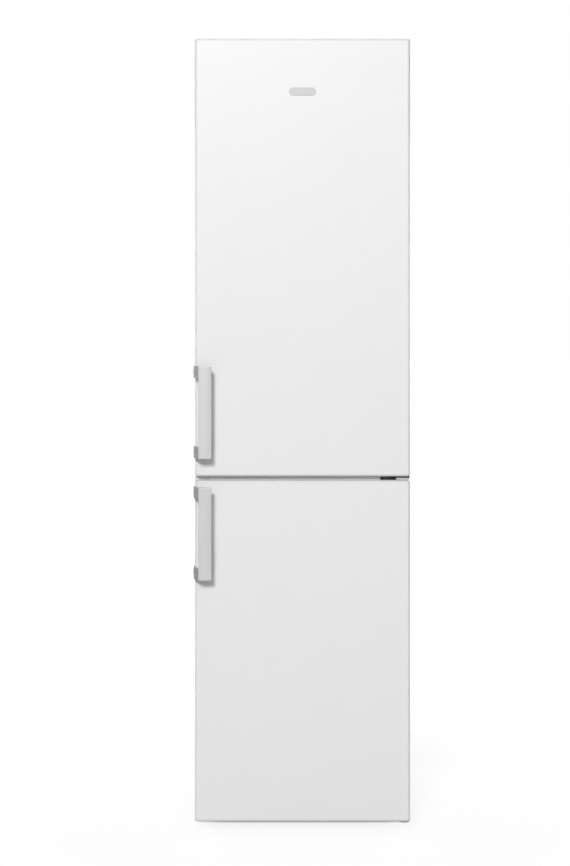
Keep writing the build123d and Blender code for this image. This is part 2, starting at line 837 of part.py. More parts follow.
# Evaporators: a tube to and fro under each freezer shelf, joined by risers, and a plate behind the
# fridge liner
tube_half = freezer_half - tube_side_room
run_pitch = 2 * tube_half / (tube_runs - 1)
run_xs = [-tube_half + run_pitch * run for run in range(tube_runs)]
wire_y_low = y_tube_front + tube_bend
wire_y_pitch = (y_tube_back - tube_bend - wire_y_low) / (wires_per_level - 1)
shelf_wire_half = freezer_half - wire_end_room
with BuildPart() as evaporators:
    for level in level_tops:
        level_points = []
        for run, x in enumerate(run_xs):
            ends = (y_tube_back, y_tube_front) if run % 2 == 0 else (y_tube_front, y_tube_back)
            level_points += [(x, y, level - tube_radius) for y in ends]
        tube(level_points, tube_bend, tube_radius)
    for x, low, high in zip((run_xs[-1], run_xs[0]), level_tops[:-1], level_tops[1:]):
        riser_start = y_tube_back + weld_gap
        riser_points = [
            (x, riser_start, low - tube_radius),
            (x, y_tube_back + riser_reach, low - tube_radius),
            (x, y_tube_back + riser_reach, high - tube_radius),
            (x, riser_start, high - tube_radius),
        ]
        tube(riser_points, riser_bend, tube_radius)
    with BuildSketch(Plane.YZ.offset(-shelf_wire_half)):
        for level in level_tops:
            for index in range(wires_per_level):
                with Locations((wire_y_low + wire_y_pitch * index, level + wire_radius + weld_gap)):
                    Circle(wire_radius)
    extrude(amount=2 * shelf_wire_half)
    block(*fridge_plate_box)
evaporators.part.label = "evaporators"
export_step(evaporators.part, "parts/evaporators.step")

# Freezer drawers, numbered from the top, each an open tub with a pull lip
wire_top = 2 * wire_radius + weld_gap
drawer_floors = [level + wire_top + slide_clearance for level in level_tops[::-1]]
drawer_floors.append(freezer_floor + slide_clearance)
drawer_tops = [freezer_ceiling - drawer_head_room]
drawer_tops += [level - 2 * tube_radius - drawer_head_room for level in level_tops[::-1]]
drawer_half = freezer_half - ledge_width - slide_clearance
bottom_drawer_half = freezer_half - drawer_side_room
y_drawer = y_case + drawer_setback
for index, (low, high) in enumerate(zip(drawer_floors, drawer_tops)):
    bottom = index == len(drawer_floors) - 1
    back = y_step - bottom_drawer_back_room if bottom else y_freezer - drawer_back_room
    reach = bottom_drawer_half if bottom else drawer_half
    drawer_body = make_tub(
        (-reach, reach), (y_drawer + pull_depth, back), (low, high), drawer_wall, drawer_corner, drawer_bottom_round
    )
    with BuildPart() as freezer_drawer:
        add(drawer_body)
        pull_half = reach - pull_side_room
        pull_y = (y_drawer, y_drawer + pull_depth + drawer_wall)
        block((-pull_half, pull_half), pull_y, (high - pull_wall, high))
        block((-pull_half, pull_half), (y_drawer, y_drawer + pull_wall), (high - pull_drop, high))
    name = f"freezer_drawer_{index + 1}"
    freezer_drawer.part.label = name
    export_step(freezer_drawer.part, f"parts/{name}.step")

# Glass plates on the fridge ledges
glass_half = fridge_half - shelf_side_room
with BuildPart() as glass_shelves:
    for level in shelf_levels:
        block((-glass_half, glass_half), (y_shelf + trim_wall, y_shelf_back - trim_wall), (level, level + glass))
glass_shelves.part.label = "glass_shelves"
export_step(glass_shelves.part, "parts/glass_shelves.step")

# Plastic edgings on the front and back of each glass plate
front_trim = (y_shelf, y_shelf + trim_depth - slide_clearance)
back_trim = (y_shelf_back - trim_depth, y_shelf_back)
trim_half = fridge_half - ledge_width - slide_clearance
with BuildPart() as shelf_trims:
    for level in shelf_levels:
        block((-glass_half, glass_half), front_trim, (level - trim_wall, level + glass + trim_wall))
        block((-trim_half, trim_half), back_trim, (level - trim_wall, level))
        block((-trim_half, trim_half), back_trim, (level, level + glass + trim_wall))
        back_lip = (y_shelf_back - trim_wall, y_shelf_back)
        block((-trim_half, trim_half), back_lip, (level, level + glass + trim_lip))
        block(
            (-glass_half, glass_half),
            (y_shelf + trim_wall, y_shelf_back - trim_wall),
            (level, level + glass),
            Mode.SUBTRACT,
        )
shelf_trims.part.label = "shelf_trims"
export_step(shelf_trims.part, "parts/shelf_trims.step")

# Salad crisper under the lowest glass plate
crisper_half = fridge_half - crisper_side_room
crisper_top = fridge_floor + slide_clearance + crisper_height
crisper_body = make_tub(
    (-crisper_half, crisper_half),
    (y_shelf + pull_depth, y_fridge - crisper_back_room),
    (fridge_floor + slide_clearance, crisper_top),
    crisper_wall,
    crisper_corner,
    crisper_corner - crisper_wall,
)
with BuildPart() as crisper:
    add(crisper_body)
    pull_half = crisper_half - pull_side_room
    pull_y = (y_shelf, y_shelf + pull_depth + crisper_wall)
    block((-pull_half, pull_half), pull_y, (crisper_top - pull_wall, crisper_top))
    block((-pull_half, pull_half), (y_shelf, y_shelf + pull_wall), (crisper_top - pull_drop, crisper_top))
crisper.part.label = "crisper"
export_step(crisper.part, "parts/crisper.step")

# Control housing on the fridge room's ceiling, open at the top and below at the lamp
y_housing = y_case + housing_setback
z_housing = fridge_ceiling - housing_height
z_controls = fridge_ceiling - knob_drop
lens_y = (y_housing + lens_setback, y_housing + lens_setback + lens_length)
with BuildPart() as control_housing:
    block(
        (-housing_width / 2, housing_width / 2),
        (y_housing, y_housing + housing_length),
        (z_housing, fridge_ceiling),
    )
    fillet(control_housing.faces().sort_by(Axis.Z)[0].edges(), housing_round)
    offset(amount=-housing_wall, openings=control_housing.faces().sort_by(Axis.Z)[-1])
    block((-lens_width / 2, lens_width / 2), lens_y, (z_housing, z_housing + housing_wall), Mode.SUBTRACT)
    sleeve_start = (switch_offset, y_housing, z_controls)
    rod(sleeve_start, (0, 1, 0), switch_sleeve_length, switch_radius + switch_sleeve_wall)
    rod(sleeve_start, (0, 1, 0), switch_sleeve_length, switch_radius + pin_clearance, Mode.SUBTRACT)
    knob_start = (knob_offset, y_housing, z_controls)
    rod(knob_start, (0, 1, 0), housing_wall, knob_shaft_radius + pin_clearance, Mode.SUBTRACT)
control_housing.part.label = "control_housing"
export_step(control_housing.part, "parts/control_housing.step")

# Thermostat knob with a grip bar and its shaft
with BuildPart() as thermostat_knob:
    knob_back = (knob_offset, y_housing - thrust_clearance, z_controls)
    rod(knob_back, (0, -1, 0), knob_depth - knob_grip_depth, knob_radius)
    rod(knob_back, (0, 1, 0), knob_shaft_length, knob_shaft_radius)
    grip_back = y_housing - thrust_clearance - knob_depth + knob_grip_depth
    block(
        (knob_offset - knob_grip_width / 2, knob_offset + knob_grip_width / 2),
        (grip_back - knob_grip_depth, grip_back),
        (z_controls - knob_radius + knob_grip_end, z_controls + knob_radius - knob_grip_end),
    )
thermostat_knob.part.label = "thermostat_knob"
export_step(thermostat_knob.part, "parts/thermostat_knob.step")

# Plunger of the lamp switch, pressed by the closed fridge door
with BuildPart() as light_switch:
    switch_tip = (switch_offset, y_inner + gasket_clearance, z_controls)
    rod(switch_tip, (0, 1, 0), switch_length, switch_radius)
    fillet(light_switch.edges().sort_by(Axis.Y)[0], switch_tip_round)
light_switch.part.label = "light_switch"
export_step(light_switch.part, "parts/light_switch.step")

# Lamp lens, a shallow tray hung in the housing's opening
lens_half = lens_width / 2 - thrust_clearance
with BuildPart() as lamp_lens:
    block(
        (-lens_half, lens_half),
        (lens_y[0] + thrust_clearance, lens_y[1] - thrust_clearance),
        (z_housing - lens_drop, z_housing + housing_wall),
    )
    fillet(lamp_lens.faces().sort_by(Axis.Z)[0].edges(), lens_drop / 2)
    offset(amount=-lens_wall, openings=lamp_lens.faces().sort_by(Axis.Z)[-1])
    rim = z_housing + housing_wall
    with BuildSketch(Plane.XY.offset(rim)):
        with Locations((0, (lens_y[0] + lens_y[1]) / 2)):
            Rectangle(lens_width + 2 * lens_wall, lens_length + 2 * lens_wall)
            Rectangle(2 * (lens_half - lens_wall), lens_length - 4 * lens_wall, mode=Mode.SUBTRACT)
    extrude(amount=lens_wall)
lamp_lens.part.label = "lamp_lens"
export_step(lamp_lens.part, "parts/lamp_lens.step")

# Lamp in its socket under the ceiling
with BuildPart() as lamp:
    lamp_y = (lens_y[0] + lens_y[1]) / 2
    rod((0, lamp_y, fridge_ceiling), (0, 0, -1), socket_length, socket_radius)
    with Locations((0, lamp_y, fridge_ceiling - socket_length - lamp_drop)):
        Sphere(lamp_radius)
lamp.part.label = "lamp"
export_step(lamp.part, "parts/lamp.step")


def door_slice(z, inset, mode=Mode.ADD):
    """Add a slice of a door's top view, drawn in from its front and sides."""
    with BuildSketch(Plane.XY.offset(z[0])) as view:
        with Locations((0, (y_door + inset + y_inner) / 2)):
            Rectangle(cabinet_width - 2 * inset, door_thickness - inset)
        fillet(view.vertices().group_by(Axis.Y)[0], door_corner - inset)
    extrude(view.sketch, amount=z[1] - z[0], mode=mode)


def door_back(z, mode):
    """The thin layer on a door's back that the folded edges and the liner take up."""
    block((-half_width, half_width), (y_inner - liner_wall, y_inner), z, mode)


def pin_hole(z, direction, depth):
    """Cut a hinge bore."""
    rod((hinge_x, hinge_y, z), (0, 0, direction), depth, pin_radius + pin_clearance, Mode.SUBTRACT)


def bush(z, direction, depth, mode=Mode.ADD):
    """The round bush that carries a hinge bore into the door."""
    rod((hinge_x, hinge_y, z), (0, 0, direction), depth, bush_radius, mode)


bore_depth = pin_depth + bore_end_room
bush_depth = bore_depth + bush_wall
collar_height = door_gap / 2 - hinge_plate / 2 - thrust_clearance


def make_skin(z):
    """A door's folded steel skin between its end caps."""
    span = (z[0] + cap_rim, z[1] - cap_rim)
    with BuildPart() as skin:
        door_slice(span, 0)
        door_slice(span, steel, Mode.SUBTRACT)
        for side in (-1, 1):
            fold = sorted((side * (half_width - fold_width), side * inside_half))
            block(fold, (y_inner - liner_wall, y_inner), span)
    return skin.part


def make_cap(z, direction, depth, recess):
    """A moulded end cap: a rounded rim over the skin, a plug inside it and a hinge bush."""
    rim = sorted((z, z - direction * cap_rim))
    plug = sorted((z - direction * cap_rim, z - direction * depth))
    bore_from = z - direction * recess
    with BuildPart() as cap:
        door_slice(rim, 0)
        outer = cap.faces().sort_by(Axis.Z)[-1 if direction > 0 else 0]
        fillet(outer.edges().sort_by(Axis.Y)[:-1], cap_round)
        door_slice(plug, steel)
        door_back(plug, Mode.SUBTRACT)
        bush(bore_from, -direction, bush_depth)
        if recess:
            fridge_hinge_recess()
        pin_hole(bore_from, -direction, bore_depth)
    return cap.part


def make_gap_strip():
    """The upstand on the freezer door's top that hides the gap's depth, split near its free end."""
    span = (z_freezer_top - cap_rim, z_fridge - strip_clearance)
    front = y_door + strip_setback
    joint_x = -half_width + strip_joint_inset
    with BuildPart() as strip:
        block(
            (-half_width, -half_width + strip_end),
            (y_door + strip_end_setback, front + strip_wall),
            span,
        )
        outside = strip.edges().filter_by(Axis.Z).group_by(Axis.X)[0]
        fillet(outside.sort_by(Axis.Y)[0], strip_end_round)
        block((-half_width + strip_end, joint_x), (front, front + strip_wall), span)
        strip_far = flange_x[0] - strip_hinge_room
        block((joint_x + strip_joint, strip_far), (front, front + strip_wall), span)
    return strip.part


def make_door_foam(z, low_depth, high_depth, recess):
    """The foam core of a door, with room for its caps' bushes."""
    span = (z[0] + low_depth, z[1] - high_depth)
    with BuildPart() as core:
        door_slice(span, steel)
        door_back(span, Mode.SUBTRACT)
        bush(z[0], 1, bush_depth, Mode.SUBTRACT)
        bush(z[1] - recess, -1, bush_depth, Mode.SUBTRACT)
    return core.part


def make_gasket(low, high):
    """The sealing frame on a door's back, as a plain rounded ring."""
    ring_width = cabinet_width - 2 * gasket_inset
    with BuildPart() as ring:
        with BuildSketch(Plane.XZ.offset(-y_inner)):
            with Locations((0, (low + high) / 2)):
                RectangleRounded(ring_width, high - low, gasket_round)
                inner_width = ring_width - 2 * gasket_width
                Rectangle(inner_width, high - low - 2 * gasket_width, mode=Mode.SUBTRACT)
        extrude(amount=-(gasket_depth - gasket_clearance))
    return ring.part


def make_liner_sheet(z):
    """The flat sheet between the folded edges on a door's back."""
    sheet_half = half_width - fold_width
    with BuildPart() as sheet:
        block((-sheet_half, sheet_half), (y_inner - liner_wall, y_inner), (z[0] + cap_rim, z[1] - cap_rim))
    return sheet.part


def raised_frame(inset):
    """The raised frame on the fridge door's back that carries the bins, drawn in from its surface."""
    outer_half = half_width - dike_outer_inset - inset
    inner_half = half_width - dike_outer_inset - dike_width + inset
    low = z_fridge + dike_low + inset
    high = z_top - dike_high - inset
    inner_height = high - low - 2 * (dike_width - 2 * inset)
    start = y_inner - (liner_wall if inset else 0)
    with BuildPart() as frame:
        with BuildSketch(Plane.XZ.offset(-start)):
            with Locations((0, (low + high) / 2)):
                RectangleRounded(2 * outer_half, high - low, dike_width - inset)
                Rectangle(2 * inner_half, inner_height, mode=Mode.SUBTRACT)
        extrude(amount=-(y_inner + dike_depth - inset - start))
        fillet(frame.faces().sort_by(Axis.Y)[-1].edges(), dike_round - inset)
    return frame.part


def raised_panel(inset):
    """The shallow raised panel on the freezer door's back, drawn in from its surface."""
    panel_half = half_width - door_panel_inset - inset
    low = z_freezer + door_panel_end + inset
    high = z_freezer_top - door_panel_end - inset
    start = y_inner - (liner_wall if inset else 0)
    with BuildPart() as panel:
        block((-panel_half, panel_half), (start, y_inner + door_panel_depth - inset), (low, high))
        fillet(panel.edges().filter_by(Axis.Y), door_panel_round * 2)
        fillet(panel.faces().sort_by(Axis.Y)[-1].edges(), door_panel_round - inset)
    return panel.part


def bracket_lows(low):
    """Heights of the lower ends of a handle's two brackets."""
    return (low, low + handle_height - bracket_height)


def cut_handle_holes(low):
    """Cut the holes for a handle's two screws in the door's side sheet."""
    for bracket_low in bracket_lows(low):
        start = (-half_width, screw_y, bracket_low + bracket_height / 2)
        rod(start, (1, 0, 0), steel, hole_radius, Mode.SUBTRACT)


fridge_handle_low = z_fridge + fridge_handle_rise
freezer_handle_low = z_freezer_top - freezer_handle_drop - handle_height
screw_y = y_door + handle_screw_setback
fridge_span = (z_fridge, z_top)
freezer_span = (z_freezer, z_freezer_top)

# Fridge door skin, notched for the top hinge
fridge_skin_body = make_skin(fridge_span)
with BuildPart() as fridge_door_skin:
    add(fridge_skin_body)
    fridge_hinge_recess()
    cut_handle_holes(fridge_handle_low)
fridge_door_skin.part.label = "fridge_door_skin"
export_step(fridge_door_skin.part, "parts/fridge_door_skin.step")

# Freezer door skin
freezer_skin_body = make_skin(freezer_span)
with BuildPart() as freezer_door_skin:
    add(freezer_skin_body)
    cut_handle_holes(freezer_handle_low)
freezer_door_skin.part.label = "freezer_door_skin"
export_step(freezer_door_skin.part, "parts/freezer_door_skin.step")

# Fridge door end caps
fridge_low_cap = make_cap(z_fridge, -1, cap_depth, 0)
fridge_high_cap = make_cap(z_top, 1, top_cap_depth, top_recess)
with BuildPart() as fridge_door_caps:
    add(fridge_low_cap)
    add(fridge_high_cap)
fridge_door_caps.part.label = "fridge_door_caps"
export_step(fridge_door_caps.part, "parts/fridge_door_caps.step")

# Freezer door end caps, with the gap strip on top
freezer_low_cap = make_cap(z_freezer, -1, cap_depth, 0)
freezer_high_cap = make_cap(z_freezer_top, 1, cap_depth, 0)
gap_strip = make_gap_strip()
with BuildPart() as freezer_door_caps:
    add(freezer_low_cap)
    add(freezer_high_cap)
    add(gap_strip)
freezer_door_caps.part.label = "freezer_door_caps"
export_step(freezer_door_caps.part, "parts/freezer_door_caps.step")

# Fridge door foam, which fills the raised frame too
fridge_core = make_door_foam(fridge_span, cap_depth, top_cap_depth, top_recess)
frame_core = raised_frame(liner_wall)
with BuildPart() as fridge_door_foam:
    add(fridge_core)
    add(frame_core)
fridge_door_foam.part.label = "fridge_door_foam"
export_step(fridge_door_foam.part, "parts/fridge_door_foam.step")

# Freezer door foam, which fills the raised panel too
freezer_core = make_door_foam(freezer_span, cap_depth, cap_depth, 0)
panel_core = raised_panel(liner_wall)
with BuildPart() as freezer_door_foam:
    add(freezer_core)
    add(panel_core)
freezer_door_foam.part.label = "freezer_door_foam"
export_step(freezer_door_foam.part, "parts/freezer_door_foam.step")

# Fridge door liner: sheet, hollow raised frame and the lugs under each bin
fridge_sheet = make_liner_sheet(fridge_span)
frame_surface = raised_frame(0)
frame_inner_half = half_width - dike_outer_inset - dike_width
upper_bin_rises = [upper_bin_low + upper_bin_pitch * index for index in range(upper_bin_count)]
bin_rises = (bottle_bin_rise, *upper_bin_rises, dairy_bin_rise)
with BuildPart() as fridge_door_liner:
    add(fridge_sheet)
    add(frame_surface)
    for side in (-1, 1):
        lug = sorted((side * (frame_inner_half - bin_lug), side * (frame_inner_half + liner_wall / 2)))
        for rise in bin_rises:
            lug_top = z_fridge + rise
            block(lug, (y_inner, y_inner + bin_lug_depth - dike_round), (lug_top - bin_lug_height, lug_top))
    add(frame_core, mode=Mode.SUBTRACT)
    fridge_hinge_recess()
fridge_door_liner.part.label = "fridge_door_liner"
export_step(fridge_door_liner.part, "parts/fridge_door_liner.step")

# Freezer door liner: sheet and hollow raised panel
freezer_sheet = make_liner_sheet(freezer_span)
panel_surface = raised_panel(0)
with BuildPart() as freezer_door_liner:
    add(freezer_sheet)
    add(panel_surface)
    add(panel_core, mode=Mode.SUBTRACT)
freezer_door_liner.part.label = "freezer_door_liner"
export_step(freezer_door_liner.part, "parts/freezer_door_liner.step")

# Door gaskets
fridge_ring = make_gasket(z_fridge + fridge_gasket_low, z_top - fridge_gasket_high)
with BuildPart() as fridge_door_gasket:
    add(fridge_ring)
fridge_door_gasket.part.label = "fridge_door_gasket"
export_step(fridge_door_gasket.part, "parts/fridge_door_gasket.step")

freezer_ring = make_gasket(z_freezer + freezer_gasket_low, z_freezer_top - freezer_gasket_high)
with BuildPart() as freezer_door_gasket:
    add(freezer_ring)
freezer_door_gasket.part.label = "freezer_door_gasket"
export_step(freezer_door_gasket.part, "parts/freezer_door_gasket.step")

# Door bins hung between the sides of the raised frame
bin_half = frame_inner_half - bin_side_room
bin_y = (y_inner, y_inner + bin_depth)


def make_bin(rise, height):
    """An open door bin standing on its lugs."""
    low = z_fridge + rise
    return make_tub((-bin_half, bin_half), bin_y, (low, low + height), bin_wall, bin_corner, bin_corner / 2)


bottle_tub = make_bin(bottle_bin_rise, bottle_bin_height)
with BuildPart() as bottle_bin:
    add(bottle_tub)
bottle_bin.part.label = "bottle_bin"
export_step(bottle_bin.part, "parts/bottle_bin.step")

upper_tubs = [make_bin(rise, upper_bin_height) for rise in upper_bin_rises]
with BuildPart() as upper_bins:
    for tub_body in upper_tubs:
        add(tub_body)
upper_bins.part.label = "upper_bins"
export_step(upper_bins.part, "parts/upper_bins.step")

# Dairy bin with ears that hold the lid's pins
dairy_tub = make_bin(dairy_bin_rise, dairy_bin_height)
dairy_top = z_fridge + dairy_bin_rise + dairy_bin_height
lid_axis_y = y_inner + bin_corner + lid_barrel_radius
lid_axis_z = dairy_top + lid_barrel_radius + slide_clearance
ear_top = lid_axis_z + lid_barrel_radius
with BuildPart() as dairy_bin:
    add(dairy_tub)
    for side in (-1, 1):
        ear_x = sorted((side * (bin_half - bin_wall), side * bin_half))
        ear_y = (lid_axis_y - lid_barrel_radius, lid_axis_y + lid_barrel_radius)
        block(ear_x, ear_y, (dairy_top - lid_ear, ear_top))
        start = (ear_x[0], lid_axis_y, lid_axis_z)
        rod(start, (1, 0, 0), bin_wall, lid_pin_radius + lid_pin_clearance, Mode.SUBTRACT)
dairy_bin.part.label = "dairy_bin"
export_step(dairy_bin.part, "parts/dairy_bin.step")

# Dairy lid: a plate on a barrel, with a front lip and two pins
lid_half = bin_half - bin_wall - lid_side_clearance
with BuildPart() as dairy_lid:
    lid_low = dairy_top + slide_clearance
    block((-lid_half, lid_half), (lid_axis_y, bin_y[1]), (lid_low, lid_low + lid_wall))
    lip_y = (bin_y[1] + slide_clearance, bin_y[1] + slide_clearance + lid_wall)
    block((-lid_half, lid_half), lip_y, (lid_low - lid_front_lip, lid_low + lid_wall))
    block((-lid_half, lid_half), (bin_y[1], lip_y[0]), (lid_low, lid_low + lid_wall))
    rod((-lid_half, lid_axis_y, lid_axis_z), (1, 0, 0), 2 * lid_half, lid_barrel_radius)
    rod((-bin_half, lid_axis_y, lid_axis_z), (1, 0, 0), 2 * bin_half, lid_pin_radius)
dairy_lid.part.label = "dairy_lid"
export_step(dairy_lid.part, "parts/dairy_lid.step")

# Handles: a flat crowned grip on two brackets that wrap the door's side
grip_x = (-half_width + handle_inset, -half_width + handle_inset + handle_width)
grip_back = y_handle + handle_plate


def make_grip(low):
    """The flat grip, crowned across its width and rounded at its free corners."""
    crown_y = y_handle + handle_crown
    with BuildPart() as grip:
        with BuildSketch(Plane.XY.offset(low)):
            with BuildLine():
                Polyline(
                    (grip_x[0], crown_y), (grip_x[0], grip_back), (grip_x[1], grip_back), (grip_x[1], crown_y)
                )
                ThreePointArc(
                    (grip_x[1], crown_y), ((grip_x[0] + grip_x[1]) / 2, y_handle), (grip_x[0], crown_y)
                )
            make_face()
        extrude(amount=handle_height)
        fillet(grip.edges().filter_by(Axis.Y).group_by(Axis.X)[-1], handle_corner)
        fillet(grip.faces().sort_by(Axis.Y)[0].edges(), handle_edge)
    return grip.part


def make_brackets(low):
    """The two brackets of a handle, from pads on the door's side to tabs behind the grip."""
    pad_out = -half_width - bracket_wall
    with BuildPart() as brackets:
        for bracket_low in bracket_lows(low):
            with BuildSketch(Plane.XY.offset(bracket_low)):
                with BuildLine():
                    Polyline(
                        (-half_width, y_door + bracket_pad),
                        (pad_out, y_door + bracket_pad),
                        (pad_out, y_door - door_corner),
                        (grip_x[0], y_handle + handle_crown),
                        (grip_x[0], grip_back),
                        (grip_x[0] + bracket_tab, grip_back),
                        (grip_x[0] + bracket_tab, grip_back + bracket_tab_wall),
                        (grip_x[0] + bracket_arm / 2, grip_back + bracket_tab_wall),
                        (-half_width, y_door - bracket_arm),
                        close=True,
                    )
                make_face()
            extrude(amount=bracket_height)
            hole_start = (-half_width, screw_y, bracket_low + bracket_height / 2)
            rod(hole_start, (-1, 0, 0), bracket_wall, hole_radius, Mode.SUBTRACT)
    return brackets.part


def make_handle_screws(low):
    """One round-headed screw through each bracket's pad into the door's side."""
    pad_out = -half_width - bracket_wall
    with BuildPart() as screws:
        for bracket_low in bracket_lows(low):
            z = bracket_low + bracket_height / 2
            rod((pad_out, screw_y, z), (-1, 0, 0), handle_screw_head, handle_screw_head_radius)
            rod((pad_out, screw_y, z), (1, 0, 0), bracket_wall + steel, screw_radius)
        round_edges = screws.edges().filter_by(GeomType.CIRCLE).group_by(Axis.X)[0]
        fillet(round_edges, handle_screw_head / 2)
    return screws.part


for door_name, low in (("fridge", fridge_handle_low), ("freezer", freezer_handle_low)):
    grip_body = make_grip(low)
    bracket_body = make_brackets(low)
    screw_body = make_handle_screws(low)
    with BuildPart() as handle_plate_piece:
        add(grip_body)
    handle_plate_piece.part.label = f"{door_name}_handle_plate"
    export_step(handle_plate_piece.part, f"parts/{door_name}_handle_plate.step")
    with BuildPart() as handle_brackets:
        add(bracket_body)
    handle_brackets.part.label = f"{door_name}_handle_brackets"
    export_step(handle_brackets.part, f"parts/{door_name}_handle_brackets.step")
    with BuildPart() as handle_screws:
        add(screw_body)
    handle_screws.part.label = f"{door_name}_handle_screws"
    export_step(handle_screws.part, f"parts/{door_name}_handle_screws.step")

# Top hinge: a plate on the cabinet's top with an arm and a pin into the fridge door
with BuildPart() as top_hinge:
    with BuildSketch(Plane.XY.offset(z_case)):
        with Locations((hinge_x, hinge_y)):
            Circle(top_eye)
        with Locations((top_screw_x, top_screw_y)):
            Rectangle(top_plate_length, top_plate_width)
        make_hull()
        with Locations((top_screw_x, top_screw_y)):
            with GridLocations(top_plate_length / 2, top_plate_width / 2, 2, 2):
                Circle(screw_radius + screw_hole_clearance, mode=Mode.SUBTRACT)
    extrude(amount=hinge_plate)
    rod((hinge_x, hinge_y, z_case), (0, 0, -1), pin_depth + top_recess - top_step, pin_radius)
top_hinge.part.label = "top_hinge"
export_step(top_hinge.part, "parts/top_hinge.step")

# Middle hinge: a flange on the rail, a plate in the gap, and a collar and a pin for each door
middle_reach = door_gap / 2 - hinge_plate / 2 + pin_depth
with BuildPart() as middle_hinge:
    tongue_z = (z_gap - hinge_tongue_height / 2, z_gap + hinge_tongue_height / 2)
    block((flange_x[0], root_x[0]), (y_case - hinge_plate, y_case), tongue_z)
    fillet(middle_hinge.edges().filter_by(Axis.Y).group_by(Axis.X)[0], hinge_flange_corner)
    block(root_x, (y_case - hinge_plate, y_case), flange_z)
    with BuildSketch(Plane.XY.offset(z_gap - hinge_plate / 2)):
        with Locations((hinge_x, hinge_y)):
            Circle(hinge_eye)
        with Locations(((root_x[0] + root_x[1]) / 2, y_case - hinge_plate / 2)):
            Rectangle(hinge_root, hinge_plate)
        make_hull()
    extrude(amount=hinge_plate)
    for direction in (-1, 1):
        start = (hinge_x, hinge_y, z_gap + direction * hinge_plate / 2)
        rod(start, (0, 0, direction), collar_height, collar_radius)
        rod(start, (0, 0, direction), middle_reach, pin_radius)
    for x, z in zip(hinge_screw_xs, middle_screw_zs):
        rod((x, y_case, z), (0, -1, 0), hinge_plate, hole_radius, Mode.SUBTRACT)
middle_hinge.part.label = "middle_hinge"
export_step(middle_hinge.part, "parts/middle_hinge.step")

# Bottom hinge: a plate under the freezer door, stepped up to the cabinet's floor sheet
low_plate_top = z_freezer - collar_height - thrust_clearance
web_y = bottom_flange_y[0]
with BuildPart() as bottom_hinge:
    with BuildSketch(Plane.XY.offset(low_plate_top - hinge_plate)):
        with Locations((hinge_x, hinge_y)):
            Circle(hinge_eye)
        with Locations(((flange_x[0] + flange_x[1]) / 2, web_y - hinge_plate / 2)):
            Rectangle(hinge_arm_length, hinge_plate)
        make_hull()
    extrude(amount=hinge_plate)
    block(flange_x, (web_y - hinge_plate, web_y), (low_plate_top - hinge_plate, base_height))
    block(flange_x, bottom_flange_y, (base_height - hinge_plate, base_height))
    rod((hinge_x, hinge_y, low_plate_top), (0, 0, 1), collar_height, collar_radius)
    rod((hinge_x, hinge_y, low_plate_top), (0, 0, 1), z_freezer - low_plate_top + pin_depth, pin_radius)
    for x in hinge_screw_xs:
        rod((x, bottom_screw_y, base_height), (0, 0, -1), hinge_plate, hole_radius, Mode.SUBTRACT)
bottom_hinge.part.label = "bottom_hinge"
export_step(bottom_hinge.part, "parts/bottom_hinge.step")

# Screws of the three hinges
with BuildPart() as hinge_screws:
    with BuildSketch(Plane.XY.offset(z_case + hinge_plate)):
        with Locations((top_screw_x, top_screw_y)):
            with GridLocations(top_plate_length / 2, top_plate_width / 2, 2, 2):
                Circle(screw_head_radius)
    extrude(amount=screw_head)
    with BuildSketch(Plane.XY.offset(z_case - steel)):
        with Locations((top_screw_x, top_screw_y)):
            with GridLocations(top_plate_length / 2, top_plate_width / 2, 2, 2):
                Circle(screw_radius)
    extrude(amount=hinge_plate + steel)
    for x, z in zip(hinge_screw_xs, middle_screw_zs):
        middle_seat = (x, y_case - hinge_plate, z)
        rod(middle_seat, (0, -1, 0), screw_head, screw_head_radius)
        rod(middle_seat, (0, 1, 0), hinge_plate + hem, screw_radius)
        bottom_seat = (x, bottom_screw_y, base_height - hinge_plate)
        rod(bottom_seat, (0, 0, -1), screw_head, screw_head_radius)
        rod(bottom_seat, (0, 0, 1), hinge_plate + pan_sheet, screw_radius)
hinge_screws.part.label = "hinge_screws"
export_step(hinge_screws.part, "parts/hinge_screws.step")
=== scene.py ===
# %% [markdown]
# # A white two-door refrigerator
# The solids come from the CAD frame, so every piece is already in its place, in metres. This lesson gives
# them their finishes, adds the few pieces that a mesh does better, and sets up the picture.
# The frame goes first, because all later places are read from it. Nothing that is added may stand outside
# it.

import math

import bmesh
import bpy
from mathutils import Matrix, Vector


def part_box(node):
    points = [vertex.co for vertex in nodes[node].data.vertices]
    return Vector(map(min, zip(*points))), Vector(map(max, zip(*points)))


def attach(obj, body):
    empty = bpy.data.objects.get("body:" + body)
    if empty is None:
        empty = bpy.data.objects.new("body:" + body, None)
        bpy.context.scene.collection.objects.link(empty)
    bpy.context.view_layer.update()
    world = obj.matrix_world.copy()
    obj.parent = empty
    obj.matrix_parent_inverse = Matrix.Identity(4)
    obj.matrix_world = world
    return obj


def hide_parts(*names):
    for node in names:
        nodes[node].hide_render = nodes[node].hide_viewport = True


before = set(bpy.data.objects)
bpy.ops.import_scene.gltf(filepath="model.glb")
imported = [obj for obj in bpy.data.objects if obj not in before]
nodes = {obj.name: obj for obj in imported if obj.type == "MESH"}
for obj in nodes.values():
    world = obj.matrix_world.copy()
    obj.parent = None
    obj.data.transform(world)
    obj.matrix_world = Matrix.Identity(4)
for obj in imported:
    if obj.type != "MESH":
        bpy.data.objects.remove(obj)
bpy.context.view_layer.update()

# %% [markdown]
# ## Writing shaders as sums
# A finish is a small net of shader nodes. Wiring it by hand hides the idea, so one class wraps a socket:
# a plus or a minus between two of them adds the Math node, and one method adds any other node. Colours
# don't go through Math nodes, which would turn them grey, so a mask blends two colours with a Mix node.


